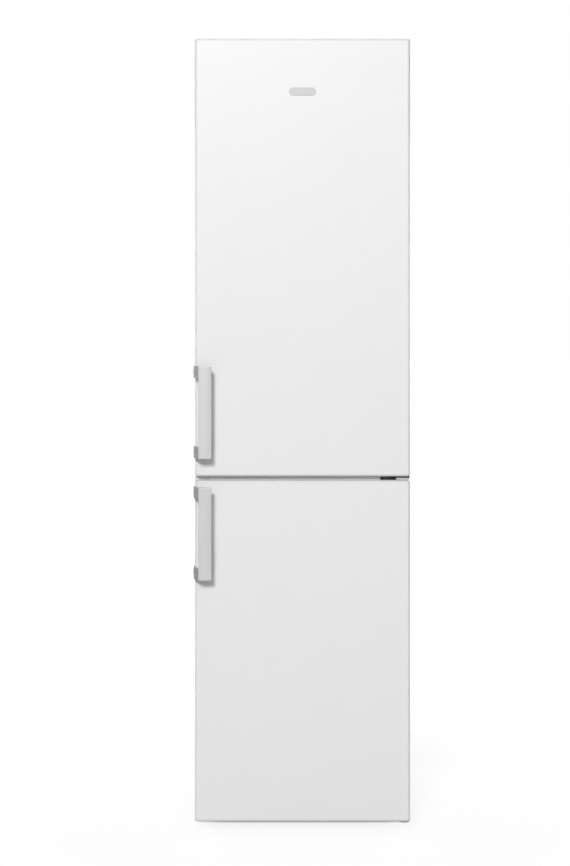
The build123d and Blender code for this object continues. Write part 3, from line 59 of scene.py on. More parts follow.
# %% A wrapped socket
class Wire:
    """A shader socket. Signs between wires and numbers add Math nodes to the same tree."""

    def __init__(self, tree, socket=None):
        self.tree = tree
        self.socket = socket

    def node(self, kind, settings=None, values=None, out=0):
        """Add a node: first its settings, then the values or links of its sockets."""
        made = self.tree.nodes.new("ShaderNode" + kind)
        for key, value in (settings or {}).items():
            setattr(made, key, value)
        for key, value in (values or {}).items():
            if isinstance(value, Wire):
                self.tree.links.new(value.socket, made.inputs[key])
            else:
                made.inputs[key].default_value = value
        return Wire(self.tree, made.outputs[out] if made.outputs else None)

    def maths(self, operation, *values):
        return self.node("Math", {"operation": operation}, dict(enumerate(values)))

    def __add__(self, other):
        return self.maths("ADD", self, other)

    def __radd__(self, other):
        return self.maths("ADD", other, self)

    def __sub__(self, other):
        return self.maths("SUBTRACT", self, other)

    def __rsub__(self, other):
        return self.maths("SUBTRACT", other, self)

    def __mul__(self, other):
        return self.maths("MULTIPLY", self, other)

    def __rmul__(self, other):
        return self.maths("MULTIPLY", other, self)

    def __pow__(self, other):
        return self.maths("POWER", self, other)

    def __rpow__(self, other):
        return self.maths("POWER", other, self)

    def blend(self, first, second):
        """The colour that goes from first to second as this mask goes from 0 to 1."""
        return self.node("Mix", {"data_type": "RGBA"}, {0: self, 6: first, 7: second}, out=2)

    def steps(self, low, high):
        """This value spread so that low becomes 0 and high becomes 1."""
        return self.node("MapRange", None, {0: self, 1: low, 2: high})


# %% [markdown]
# ## Starting and closing a finish
# Every finish starts from the place on the object in metres, so a grain of 1 mm is 1 mm on any piece. It
# ends in one Principled shader. Noise is the usual source of unevenness, so it gets its own short call,
# and so does the bump that turns a height into a tilt of the surface.

# %% Colours and a fresh finish
finishes = {}


def grey(value, warm=0.0):
    """A near-neutral colour; warm moves it towards yellow, or towards blue below zero."""
    return (value * (1 + warm), value, value * (1 - warm), 1.0)


def shade(colour, share):
    """The colour with its light cut down to a share."""
    return tuple(v * share for v in colour[:3]) + (1.0,)


def start(name):
    """A new material's empty tree, and the place on the object in metres."""
    material = bpy.data.materials.new(name)
    material.use_nodes = True
    material.node_tree.nodes.clear()
    finishes[name] = material
    tree = Wire(material.node_tree)
    print("finish", len(finishes), name)
    return tree, tree.node("TexCoord", out="Object")


# %% Unevenness, relief and the closing shader
def noise(place, size, detail=2.0, stretch=None):
    """Soft noise whose patches are about size metres across."""
    if stretch:
        place = place.node("VectorMath", {"operation": "MULTIPLY"}, {0: place, 1: stretch})
    return place.node("TexNoise", None, {"Vector": place, "Scale": 1 / size, "Detail": detail})


def bump(height, depth, strength=1.0, below=None):
    """The tilt that a height between 0 and 1 gives, for a relief that is depth metres deep."""
    values = {"Height": height, "Distance": depth, "Strength": strength}
    if below is not None:
        values["Normal"] = below
    return height.node("Bump", None, values)


def close(tree, **sockets):
    """End the finish in a Principled shader. Names use _ where the socket has a space."""
    values = {name.replace("_", " "): value for name, value in sockets.items()}
    shader = tree.node("BsdfPrincipled", None, values)
    tree.node("OutputMaterial", None, {"Surface": shader})


# %% [markdown]
# ## Enamelled steel
# The doors and the case are sheet steel, painted before it was bent. Such paint isn't flat: it keeps a
# faint orange-peel wave a few millimetres across, and its white drifts a little from place to place. A
# picture of paint would repeat over so large a door, so both come from noise of a real size. A clear coat
# gives the soft second gloss.

# %% Enamel
drift_size = 0.35
drift_shade = 0.975
peel_size = 0.0035
peel_depth = 0.00012
speck_size = 0.0009
speck_gloss = 0.08
enamel_coat_roughness = 0.12
case_tone = 0.8
case_warm = 0.004


def enamel(name, tone, warm, roughness, coat):
    tree, place = start(name)
    drift = noise(place, drift_size, detail=3.0)
    peel = noise(place, peel_size)
    specks = noise(place, speck_size, detail=1.0)
    close(
        tree,
        Base_Color=drift.blend(grey(tone, warm), grey(tone * drift_shade, warm)),
        Roughness=specks * speck_gloss + (roughness - speck_gloss / 2),
        Normal=bump(peel, peel_depth),
        Coat_Weight=coat,
        Coat_Roughness=enamel_coat_roughness,
    )


enamel("door_enamel", tone=0.805, warm=0.002, roughness=0.42, coat=0.25)
enamel("case_enamel", tone=case_tone, warm=case_warm, roughness=0.48, coat=0.15)
enamel("evaporator_enamel", tone=0.76, warm=0.0, roughness=0.4, coat=0.2)

# %% [markdown]
# ## Moulded and formed plastic
# Caps, bins, knobs and trims come out of moulds whose walls are spark-eroded, which leaves a fine even
# grain. The room liners are sheets drawn hot into a mould: they are glossier, and the sheet thins and
# waves a little. One recipe serves both, with a depth for the grain and a slow wave.

# %% Plastics
grain_size = 0.0006
grain_gloss = 0.12
cloud_size = 0.12
cloud_shade = 0.94
wave_size = 0.06


def moulded(name, colour, roughness, depth=0.00003, wave=0.0, coat=0.0):
    tree, place = start(name)
    cloud = noise(place, cloud_size, detail=3.0)
    pits = noise(place, grain_size, detail=1.0)
    relief = bump(pits, depth)
    if wave:
        relief = bump(noise(place, wave_size), wave, below=relief)
    close(
        tree,
        Base_Color=cloud.blend(colour, shade(colour, cloud_shade)),
        Roughness=pits * grain_gloss + (roughness - grain_gloss / 2),
        Normal=relief,
        Coat_Weight=coat,
    )


# The caps' white is kept darker than the doors' enamel: painted shade, so that the rounded lips at the
# doors' top and bottom read shaded.
moulded("cap_plastic", grey(0.71, 0.004), roughness=0.42)
moulded("liner_plastic", grey(0.82, 0.006), roughness=0.26, wave=0.0004, coat=0.2)
moulded("trim_plastic", grey(0.78, 0.004), roughness=0.35)
moulded("bracket_plastic", grey(0.36, -0.01), roughness=0.5, depth=0.00005)
# The screw caps' white is set brighter than the other white plastics: painted light, lifting caps that face
# away from the main lamp.
moulded("screw_cap_plastic_painted_light", grey(0.92), roughness=0.35)
moulded("pan_plastic", grey(0.3, -0.01), roughness=0.55, depth=0.00006)
moulded("dark_plastic", grey(0.035), roughness=0.5, depth=0.00006)
# Near-black for the upper hinge cover: painted shade in the gap under the upper door.
moulded("hinge_cover_painted_shade", grey(0.12), roughness=0.55)
moulded("tick_ink", grey(0.12, -0.05), roughness=0.6)

# %% [markdown]
# ## Galvanised sheet
# The back and the pan are galvanised: zinc freezes in flat crystals a centimetre wide, and each throws
# the light its own way. A Voronoi texture has just such cells, and its random cell colour sets tone and
# gloss. The pan's front edge shows under the freezer, so it is painted with the case: a mask on the depth
# marks that edge, which saves a second material on the same sheet.

# %% Zinc
spangles_per_metre = 95.0
spangle_depth = 0.00005
spangle_strength = 0.4
stain_size = 0.2
stain_share = 0.3
zinc_metal = 0.85
zinc_roughness = 0.7
zinc_gloss = 0.2
paint_full = 0.001
paint_end = 0.0014
case_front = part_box("outer_case")[0].y
tree, place = start("galvanised_sheet")
cell = place.node("TexVoronoi", None, {"Vector": place, "Scale": spangles_per_metre}, out="Color")
tone = cell.node("SeparateColor", None, {"Color": cell}, out="Red")
stain = noise(place, stain_size, detail=4.0)
flake = tone * (1 - stain_share) + stain * stain_share
inward = place.node("SeparateXYZ", None, {0: place}, out="Y")
painted = inward.steps(case_front + paint_end, case_front + paint_full)
zinc = flake.blend(grey(0.42, -0.01), grey(0.6, -0.01))
close(
    tree,
    Base_Color=painted.blend(zinc, grey(case_tone, case_warm)),
    Metallic=zinc_metal - painted * zinc_metal,
    Roughness=zinc_roughness - flake * zinc_gloss,
    Normal=bump(tone, spangle_depth, strength=spangle_strength),
)

# %% [markdown]
# ## Plated steel
# Hinges and screws are zinc-plated steel with fine drawn lines. Lines could be drawn one by one as bars,
# but noise that is stretched far along one axis gives them at once, uneven as they are. On the hinges the
# lines run from side to side, on the screws they run upright.

# %% Hinge and screw steel
line_size = 0.0008
line_depth = 0.00003
line_share = 0.6
line_gloss = 0.15
line_stretch = 0.06
smear_size = 0.02
smear_gloss = 0.1
steel_gloss = 0.12


def drawn_steel(name, dark, light, roughness, metal, along):
    tree, place = start(name)
    lines = noise(place, line_size, detail=3.0, stretch=along)
    smear = noise(place, smear_size, detail=3.0)
    close(
        tree,
        Base_Color=(lines * line_share + smear * (1 - line_share)).blend(dark, light),
        Metallic=metal,
        Roughness=lines * line_gloss + smear * smear_gloss + (roughness - steel_gloss),
        Normal=bump(lines, line_depth),
    )


sideways = (line_stretch, 1.0, 1.0)
upright = (1.0, 1.0, line_stretch)
drawn_steel("hinge_steel", grey(0.6, -0.01), grey(0.78, -0.01), 0.42, metal=0.3, along=sideways)
drawn_steel("screw_steel", grey(0.6), grey(0.8), 0.35, metal=0.55, along=upright)

# %% [markdown]
# ## Silver grips
# The grips are aluminium-look mouldings: a metallic paint over a smooth base. The flakes are far too fine
# to see one by one, but they make the silver uneven from near, so a very fine noise moves the colour, and
# a third of the shine is metal. The blank plate on the door has a darker coat of the same paint.

# %% Silver paint
flake_size = 0.0005
flake_depth = 0.00001
flake_share = 0.6
flake_gloss = 0.12
sweep_size = 0.05
silver_coat = 0.3
silver_coat_roughness = 0.15


def silver_paint(name, dark, light, roughness, metal):
    tree, place = start(name)
    flakes = noise(place, flake_size, detail=1.0)
    sweep = noise(place, sweep_size)
    close(
        tree,
        Base_Color=(flakes * flake_share + sweep * (1 - flake_share)).blend(dark, light),
        Metallic=metal,
        Roughness=flakes * flake_gloss + roughness,
        Normal=bump(flakes, flake_depth),
        Coat_Weight=silver_coat,
        Coat_Roughness=silver_coat_roughness,
    )


silver_paint("grip_silver", grey(0.63), grey(0.74), roughness=0.3, metal=0.35)
silver_paint("plate_silver", grey(0.4, -0.01), grey(0.52, -0.01), roughness=0.4, metal=0.25)

# %% [markdown]
# ## Glass
# Shelves are float glass, faintly green. The lamp's cover is thicker and milky, and the lamp itself is a
# warm frosted bulb. All three bend the light on its way through, so they use Transmission; the milky ones
# keep a part of the plain surface colour.

# %% Glass
haze_size = 0.03
pit_size = 0.0012
glass_shade = 0.97


def glass(name, tint, roughness, milk, index, depth):
    tree, place = start(name)
    haze = noise(place, haze_size, detail=3.0)
    pits = noise(place, pit_size, detail=1.0)
    close(
        tree,
        Base_Color=haze.blend(tint, shade(tint, glass_shade)),
        Roughness=haze * roughness + roughness / 2,
        Normal=bump(pits, depth),
        Transmission_Weight=1 - milk,
        IOR=index,
    )


glass("shelf_glass", (0.9, 0.97, 0.94, 1.0), roughness=0.02, milk=0.0, index=1.52, depth=0.000002)
glass("lamp_cover", (0.95, 0.96, 0.97, 1.0), roughness=0.3, milk=0.25, index=1.5, depth=0.0002)
glass("lamp_glass", (0.95, 0.93, 0.88, 1.0), roughness=0.2, milk=0.3, index=1.5, depth=0.000005)

# %% [markdown]
# ## Clear plastic
# The drawers and most bins are thin clear styrene, slightly milky. Walls that thin hardly bend the light,
# and with Transmission they would throw dark shadows into the rooms, so they are see-through by Alpha
# instead. Seen edge-on there is more plastic in the way, and a layer weight makes it denser there.

# %% Thin clear styrene
styrene_tint = (0.78, 0.83, 0.86, 1.0)
styrene_shade = 0.96
styrene_roughness = 0.14
styrene_depth = 0.00001
edge_reach = 0.4
edge_alpha = 0.4
haze_alpha = 0.04
face_alpha = 0.14
tree, place = start("clear_styrene")
haze = noise(place, haze_size, detail=3.0)
pits = noise(place, pit_size, detail=1.0)
edge = tree.node("LayerWeight", None, {"Blend": edge_reach}, out="Facing")
close(
    tree,
    Base_Color=haze.blend(styrene_tint, shade(styrene_tint, styrene_shade)),
    Roughness=haze * styrene_roughness + styrene_roughness / 2,
    Normal=bump(pits, styrene_depth),
    Alpha=edge * edge_alpha + haze * haze_alpha + face_alpha,
)

# %% [markdown]
# ## Blown foam
# The foam between case and liners is a froth of closed cells under a yellow skin. Modelling bubbles would
# cost a great mesh for a part that is hidden, so Voronoi cells of a few millimetres only tilt the surface.

# %% Foam
foam_cells_per_metre = 420.0
foam_depth = 0.0008
foam_dark = (0.78, 0.68, 0.42, 1.0)
foam_light = (0.86, 0.79, 0.58, 1.0)
skin_size = 0.05
skin_roughness = 0.85
skin_gloss = 0.15
tree, place = start("blown_foam")
cells = place.node("TexVoronoi", None, {"Vector": place, "Scale": foam_cells_per_metre})
skin = noise(place, skin_size, detail=4.0)
close(
    tree,
    Base_Color=skin.blend(foam_dark, foam_light),
    Roughness=skin_roughness - skin * skin_gloss,
    Normal=bump(cells, foam_depth),
)

# %% [markdown]
# ## Rubber and vinyl
# Door seals are soft pale vinyl and the compressor stands on black rubber. Both are dull, and a bloom of
# dust lies on them in patches: noise, cut so that only its higher part counts, is that bloom.

# %% Rubber
bloom_size = 0.03
bloom_low = 0.35
bloom_high = 0.75
bloom_share = 0.6
bloom_gloss = 0.2
rubber_roughness = 0.5
rubber_grain = 0.0008
rubber_depth = 0.00004


def rubber(name, colour, dust):
    tree, place = start(name)
    bloom = noise(place, bloom_size, detail=4.0)
    pits = noise(place, rubber_grain)
    close(
        tree,
        Base_Color=(bloom.steps(bloom_low, bloom_high) * bloom_share).blend(colour, dust),
        Roughness=bloom * bloom_gloss + rubber_roughness,
        Normal=bump(pits, rubber_depth),
    )


rubber("gasket_vinyl", grey(0.72, 0.006), dust=grey(0.64, 0.02))
rubber("black_rubber", grey(0.02), dust=grey(0.05, 0.03))

# %% [markdown]
# ## Copper pipe
# Copper tarnishes in patches that are browner and duller than the bright metal. One mask of noise moves
# the colour and the gloss together, because on the real pipe both come from the same film.

# %% Copper
tarnish_size = 0.025
tarnish_low = 0.35
tarnish_high = 0.7
tarnish_gloss = 0.25
draw_size = 0.0007
draw_depth = 0.00002
draw_gloss = 0.1
copper_roughness = 0.2
copper_bright = (0.85, 0.44, 0.27, 1.0)
copper_brown = (0.35, 0.17, 0.1, 1.0)
tree, place = start("copper_pipe")
tarnish = noise(place, tarnish_size, detail=5.0).steps(tarnish_low, tarnish_high)
drawn = noise(place, draw_size)
close(
    tree,
    Base_Color=tarnish.blend(copper_bright, copper_brown),
    Metallic=1.0,
    Roughness=tarnish * tarnish_gloss + drawn * draw_gloss + copper_roughness,
    Normal=bump(drawn, draw_depth),
)

# %% [markdown]
# ## Black enamel
# The compressor and the condenser are dipped in black enamel, which runs a little before it sets. Dust
# settles on what faces up, so the upward part of the surface's own direction marks where it lies.

# %% Black enamel with dust on top
level_low = 0.4
level_high = 1.0
dust_size = 0.004
dust_low = 0.4
dust_high = 0.7
dust_share = 0.5
dust_dull = 0.5
run_size = 0.006
run_depth = 0.00015
black_roughness = 0.32
black_coat = 0.3
tree, place = start("black_enamel")
facing = tree.node("NewGeometry", out="Normal")
upward = facing.node("SeparateXYZ", None, {0: facing}, out="Z").steps(level_low, level_high)
specks = noise(place, dust_size, detail=5.0).steps(dust_low, dust_high)
dust = upward * specks * dust_share
runs = noise(place, run_size)
close(
    tree,
    Base_Color=dust.blend(grey(0.018), grey(0.22, 0.08)),
    Roughness=dust * dust_dull + black_roughness,
    Normal=bump(runs, run_depth),
    Coat_Weight=black_coat,
)

# %% [markdown]
# ## Which piece has which finish
# A CAD solid keeps its mesh and only changes its material. The list goes by finish, as a paint shop would
# sort the parts, and every solid has to be on it once.

# %% Give the solids their finishes
drawers = [f"freezer_drawer_{number}" for number in range(1, 5)]
wearing = {
    "door_enamel": ["fridge_door_skin", "freezer_door_skin"],
    "case_enamel": ["outer_case", "centre_rail"],
    "cap_plastic": ["fridge_door_caps", "freezer_door_caps", "top_cover", "plinth", "hole_plugs"],
    "liner_plastic": ["fridge_liner", "freezer_liner", "fridge_door_liner", "freezer_door_liner"],
    "trim_plastic": ["control_housing", "thermostat_knob", "light_switch", "shelf_trims", "dairy_bin"],
    "galvanised_sheet": ["back_panel", "base_pan", "machine_rail"],
    "hinge_steel": ["top_hinge", "middle_hinge", "bottom_hinge"],
    "screw_steel": ["hinge_screws", "compressor_nuts"],
    "screw_cap_plastic_painted_light": ["fridge_handle_screws", "freezer_handle_screws"],
    "grip_silver": ["fridge_handle_plate", "freezer_handle_plate"],
    "bracket_plastic": ["fridge_handle_brackets", "freezer_handle_brackets"],
    "pan_plastic": ["drain_pan", "condenser_brackets"],
    "dark_plastic": ["relay_box", "left_foot", "right_foot", "left_roller", "right_roller"],
    "clear_styrene": ["crisper", "dairy_lid", "upper_bins", "bottle_bin", *drawers],
    "shelf_glass": ["glass_shelves"],
    "lamp_cover": ["lamp_lens"],
    "lamp_glass": ["lamp"],
    "blown_foam": ["foam_insulation", "fridge_door_foam", "freezer_door_foam"],
    "gasket_vinyl": ["fridge_door_gasket", "freezer_door_gasket"],
    "black_rubber": ["compressor_grommets"],
    "copper_pipe": ["refrigerant_pipes"],
    "black_enamel": ["compressor", "condenser"],
    "evaporator_enamel": ["evaporators"],
}
for finish, names in wearing.items():
    for name in names:
        nodes[name].data.materials.clear()
        nodes[name].data.materials.append(finishes[finish])
bare = set(nodes) - {name for names in wearing.values() for name in names}
print("solids without a finish:", sorted(bare))

# %% [markdown]
# ## Adding a piece
# A new piece is a mesh that rides on one body, so that it swings with its door, and that wears one of
# the finishes above. Edges sharper than 35 degrees stay crisp and the rest are shaded smooth.

# %% A helper for new pieces
crisp_angle = math.radians(35)


def add_piece(name, mesh, finish, body):
    made = bpy.data.meshes.new(name)
    mesh.normal_update()
    bmesh.ops.recalc_face_normals(mesh, faces=mesh.faces)
    mesh.to_mesh(made)
    mesh.free()
    for face in made.polygons:
        face.use_smooth = True
    made.set_sharp_from_angle(angle=crisp_angle)
    made.materials.append(finishes[finish])
    piece = bpy.data.objects.new(name, made)
    bpy.context.scene.collection.objects.link(piece)
    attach(piece, body)
    print(name, len(made.polygons), "faces on", body)
    return piece


def bridge(mesh, first, second):
    """Faces between two rings with the same number of points."""
    for k in range(len(first)):
        follow = (k + 1) % len(first)
        mesh.faces.new((first[k], first[follow], second[follow], second[k]))


# %% [markdown]
# ## Door seals
# A door seal is one extruded vinyl section: a flange in the door, a bellows that lets it stretch, and a
# flat pocket with the magnet. Four lengths are cut at 45 degrees and welded into a frame. A curve with a
# bevel would round the corners, so the section's points are carried round the four corners instead, and
# each weld is drawn in a little, which leaves the fine groove that such corners have.

# %% Seal section
seal_width = 0.014
seal_step = 0.002
weld_draw = 0.93
# Across the seal from its outer edge, then from the door towards the cabinet, both as shares
seal_section = [
    (0.00, 0.00),
    (1.00, 0.00),
    (1.00, 0.14),
    (0.80, 0.36),
    (0.94, 0.58),
    (0.96, 0.92),
    (0.88, 0.98),
    (0.12, 0.98),
    (0.04, 0.92),
    (0.06, 0.58),
    (0.20, 0.36),
    (0.00, 0.14),
]
print("seal section of", len(seal_section), "points,", seal_width, "m wide")


# %% Seals round the doors
def make_seal(name, node, body):
    low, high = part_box(node)
    depth = high.y - low.y
    mesh = bmesh.new()
    rings = []
    corners = [(low.x, low.z), (high.x, low.z), (high.x, high.z), (low.x, high.z)]
    middle = Vector(((low.x + high.x) / 2, (low.z + high.z) / 2))
    for index, corner in enumerate(corners):
        corner = Vector(corner)
        inward = Vector((math.copysign(1, middle.x - corner.x), math.copysign(1, middle.y - corner.y)))
        before = (Vector(corners[index - 1]) - corner).normalized()
        after = (Vector(corners[(index + 1) % len(corners)]) - corner).normalized()
        for shift, draw in ((before, 1.0), (None, weld_draw), (after, 1.0)):
            ring = []
            for across, up in seal_section:
                across = 0.5 + (across - 0.5) * draw
                up = 0.5 + (up - 0.5) * draw
                spot = corner + inward * seal_width * across
                if shift is not None:
                    spot = spot + shift * seal_step
                ring.append(mesh.verts.new((spot.x, low.y + depth * up, spot.y)))
            rings.append(ring)
    for index, ring in enumerate(rings):
        bridge(mesh, ring, rings[(index + 1) % len(rings)])
    seal = add_piece(name, mesh, "gasket_vinyl", body)
    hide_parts(node)


make_seal("fridge_door_seal", "fridge_door_gasket", "fridge_door")
make_seal("freezer_door_seal", "freezer_door_gasket", "freezer_door")

# %% [markdown]
# ## Blank name plate
# A small plate sits near the top of the upper door. It is left blank. It is a thin pressed strip with
# round ends and a bevelled rim, so it is drawn as an outline and given two steps inwards.

# %% Name plate
plate_size = Vector((0.068, 0.020))
plate_rise = 0.0012
plate_wall = 0.6
plate_rim = Vector((0.0012, 0.0012))
plate_drop = 0.128
end_steps = 10
door_low, door_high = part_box("fridge_door_skin")
plate_centre = Vector((0.0, door_high.z - plate_drop))


def lozenge(mesh, size, rise):
    """A ring of points round a strip with round ends, rise metres in front of the door."""
    radius = min(size) / 2
    ring = []
    for side in (1, -1):
        for step in range(end_steps + 1):
            angle = math.radians(-90 + 180 * step / end_steps)
            x = side * (size.x / 2 - radius + radius * math.cos(angle))
            z = side * radius * math.sin(angle)
            ring.append(mesh.verts.new((plate_centre.x + x, door_low.y - rise, plate_centre.y + z)))
    return ring


plate = bmesh.new()
plate_foot = lozenge(plate, plate_size, 0.0)
plate_edge = lozenge(plate, plate_size, plate_rise * plate_wall)
plate_face = lozenge(plate, plate_size - plate_rim, plate_rise)
bridge(plate, plate_foot, plate_edge)
bridge(plate, plate_edge, plate_face)
plate.faces.new(plate_face)
add_piece("name_plate_blank", plate, "plate_silver", "fridge_door")

# %% [markdown]
# ## Dial ticks
# Round the thermostat knob, ticks grow thicker towards the cold end. They are printed on the housing. A
# picture of them would need an image file, so they are thin bars that stand a hair proud of it.

# %% Ticks round the knob
tick_count = 7
tick_sweep = math.radians(270)
tick_start = 0.0172
tick_end = 0.0192
tick_thin = 0.0005
tick_thick = 0.0016
tick_rise = 0.0002
knob_low, knob_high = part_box("thermostat_knob")
knob_centre = (knob_low + knob_high) / 2
housing_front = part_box("control_housing")[0].y
home = Matrix.Translation((knob_centre.x, housing_front, knob_centre.z))
lift = Matrix.Translation((0, 0, (tick_start + tick_end) / 2))
ticks = bmesh.new()
for number in range(tick_count):
    share = number / (tick_count - 1)
    width = tick_thin + (tick_thick - tick_thin) * share
    turn = Matrix.Rotation(tick_sweep * (share - 0.5), 4, "Y")
    size = Matrix.Diagonal((width, 2 * tick_rise, tick_end - tick_start, 1.0))
    bmesh.ops.create_cube(ticks, size=1.0, matrix=home @ turn @ lift @ size)
add_piece("thermostat_ticks", ticks, "tick_ink", "cabinet")

# %% [markdown]
# ## Middle hinge cover
# In the gap between the doors the end of the hinge wears a clip-on cover: a dark half over the upper
# collar and a pale half over the lower one. The upper half's near-black is painted shade, for the shade
# under the upper door. They reach out to the side of the doors, so that no light comes through there.
# Each half is an outline with round front corners, seen from above, that goes up in rings; the first and
# last ring are a little smaller, which breaks the edges.

# %% Two halves of the cover
cover_setback = 0.009
cover_width = 0.035
cover_reach = 0.25
cover_side_gap = 0.0002
cover_half = 0.0038
cover_split = 0.0003
cover_edge = 0.0005
cover_round = 0.003
cover_steps = 6
hinge_low, hinge_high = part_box("middle_hinge")
gap_level = (hinge_low.z + hinge_high.z) / 2


def cover_outline(mesh, inset, z):
    """The cover seen from above, drawn in by inset: round in front, straight at the back."""
    right = door_high.x - cover_side_gap - inset
    left = door_high.x - cover_width + inset
    front = door_low.y + cover_setback + inset
    back = hinge_low.y + (hinge_high.y - hinge_low.y) * cover_reach
    ring = [mesh.verts.new((left, back, z)), mesh.verts.new((right, back, z))]
    for side, first in ((right - cover_round, 0), (left + cover_round, -90)):
        for step in range(cover_steps + 1):
            angle = math.radians(first - 90 * step / cover_steps)
            x = side + cover_round * math.cos(angle)
            y = front + cover_round + cover_round * math.sin(angle)
            ring.append(mesh.verts.new((x, y, z)))
    return ring


def make_cover(name, low, high, finish):
    mesh = bmesh.new()
    levels = ((cover_edge, low), (0.0, low + cover_edge), (0.0, high - cover_edge), (cover_edge, high))
    rings = [cover_outline(mesh, inset, gap_level + rise) for inset, rise in levels]
    for first, second in zip(rings, rings[1:]):
        bridge(mesh, first, second)
    mesh.faces.new(rings[0])
    mesh.faces.new(rings[-1])
    add_piece(name, mesh, finish, "cabinet")


# The upper half is near-black as painted shade under the upper door; the lower half is the pale cap
# plastic.
make_cover("hinge_cover_upper", cover_split, cover_half, "hinge_cover_painted_shade")
make_cover("hinge_cover_lower", -cover_half, -cover_split, "cap_plastic")

# %% [markdown]
# ## Back panel screws
# The rear sheet is held by pan-head screws with a cross recess. A head is a lathe form, but the cross isn't
# round: the rings go up to the flat top, the top is filled between its ring and the cross, and the cross
# is carried down as a pocket.

# %% A screw head
head_radius = 0.0045
head_height = 0.0024
head_steps = 24
cross_arm = 0.0026
cross_half = 0.0006
cross_depth = 0.0014
# Radius and height of each ring, as shares of the head
head_rings = [(1.0, 0.0), (1.0, 0.35), (0.93, 0.7), (0.78, 0.92), (0.62, 1.0)]


def loop_edges(mesh, ring):
    """The edges round a ring of points; those that aren't there yet are made."""
    pairs = [(ring[k - 1], ring[k]) for k in range(len(ring))]
    return [mesh.edges.get(pair) or mesh.edges.new(pair) for pair in pairs]


def cross_outline(turn):
    """The twelve corners of the cross, turned about the middle of the head."""
    outline = []
    for quarter in range(4):
        angle = turn + math.tau * quarter / 4
        along = Vector((math.cos(angle), math.sin(angle)))
        aside = Vector((-along.y, along.x))
        for share, side in ((cross_arm, -1), (cross_arm, 1), (cross_half, 1)):
            outline.append(along * share + aside * cross_half * side)
    return outline


def screw_head(mesh, x, y, z, turn):
    """A pan head that stands on a sheet facing +Y, with its cross turned."""
    rings = []
    for radius, rise in head_rings:
        ring = []
        for step in range(head_steps):
            angle = math.tau * step / head_steps
            across = head_radius * radius
            spot = (x + across * math.cos(angle), y + head_height * rise, z + across * math.sin(angle))
            ring.append(mesh.verts.new(spot))
        rings.append(ring)
    for first, second in zip(rings, rings[1:]):
        bridge(mesh, first, second)
    outline = cross_outline(turn)
    mouth = [mesh.verts.new((x + p.x, y + head_height, z + p.y)) for p in outline]
    pocket = [mesh.verts.new((x + p.x, y + head_height - cross_depth, z + p.y)) for p in outline]
    edges = loop_edges(mesh, rings[-1]) + loop_edges(mesh, mouth)
    bmesh.ops.triangle_fill(mesh, edges=edges, use_beauty=True)
    bridge(mesh, mouth, pocket)
    mesh.faces.new(pocket)


print("a screw head is", 2 * head_radius, "m wide and", head_height, "m high")

# %% Screws round the back panel
screw_inset = 0.011
screw_rows = 8
screw_columns = 3
row_turn = 0.7
column_turn = 0.9
panel_low, panel_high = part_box("back_panel")
panel_width = panel_high.x - panel_low.x
row_span = panel_high.z - panel_low.z - 2 * screw_inset
screws = bmesh.new()
for row in range(screw_rows):
    z = panel_low.z + screw_inset + row_span * row / (screw_rows - 1)
    for x in (panel_low.x + screw_inset, panel_high.x - screw_inset):
        screw_head(screws, x, panel_high.y, z, row * row_turn + x)
for column in range(1, screw_columns + 1):
    x = panel_low.x + panel_width * column / (screw_columns + 1)
    for z in (panel_low.z + screw_inset, panel_high.z - screw_inset):
        screw_head(screws, x, panel_high.y, z, column * column_turn + z)
add_piece("back_panel_screws", screws, "screw_steel", "cabinet")

# %% [markdown]
# ## Floor
# The photograph has a plain white ground. The floor is pale and takes a faint shadow near the cabinet,
# and further out it turns into plain white, so that no horizon cuts the picture. Straight under the
# cabinet the white is taken away along its outline, a painted contact shadow, because a floor that
# shines there would lift the cabinet off the ground.
# Only the camera sees the white share, so the floor doesn't act as a lamp.

# %% Floor finish
floor_near = 0.7
floor_far = 2.2
near_white = 0.75
white_strength = 1.16
under_shade = 0.9
under_fade = 0.05
front_setback = 0.016
front_fade = 0.024
floor_grain = 0.4
case_low, case_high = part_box("outer_case")
tree, place = start("pale_floor")
grain = noise(place, floor_grain, detail=3.0)
reach = place.node("VectorMath", {"operation": "LENGTH"}, {0: place}, out="Value")
away = reach.steps(floor_near, floor_far)
across = place.node("SeparateXYZ", None, {0: place}, out="X")
inward = place.node("SeparateXYZ", None, {0: place}, out="Y")
# Along the cabinet's outline the white share is taken away: a painted contact shadow, set back and faded at
# the front so that a dark line shows just under the door.
from_sides = (case_high.x - across.maths("ABSOLUTE", across)).steps(0.0, under_fade)
from_front = (inward - (case_low.y + front_setback)).steps(0.0, front_fade)
from_back = (case_high.y - inward).steps(0.0, under_fade)
outside_painted_shadow = 1 - from_sides * from_front * from_back * under_shade
seen = tree.node("LightPath", out="Is Camera Ray")
pale = tree.node("BsdfDiffuse", None, {"Color": grain.blend(grey(0.62), grey(0.6))})
white = tree.node("Emission", None, {"Color": grey(1.0), "Strength": white_strength})
white_share = (away * (1 - near_white) + near_white) * outside_painted_shadow * seen
ground_mix = tree.node("MixShader", None, {0: white_share, 1: pale, 2: white})
tree.node("OutputMaterial", None, {"Surface": ground_mix})

# %% Floor sheet
floor_half = 30.0
floor_tiles = 4
ground = bmesh.new()
bmesh.ops.create_grid(ground, x_segments=floor_tiles, y_segments=floor_tiles, size=floor_half)
floor_mesh = bpy.data.meshes.new("floor")
ground.to_mesh(floor_mesh)
ground.free()
floor_mesh.materials.append(finishes["pale_floor"])
floor = bpy.data.objects.new("floor", floor_mesh)
bpy.context.scene.collection.objects.link(floor)
print("floor", 2 * floor_half, "m wide")

# %% [markdown]
# ## Sky
# The sky is white to look at, but lights the scene more from the front than from the sides, so that the
# rounded edges of the doors read darker, as softboxes would do it. A single strength can't do both, so the
# strength depends on the kind of ray and on the way that it goes.

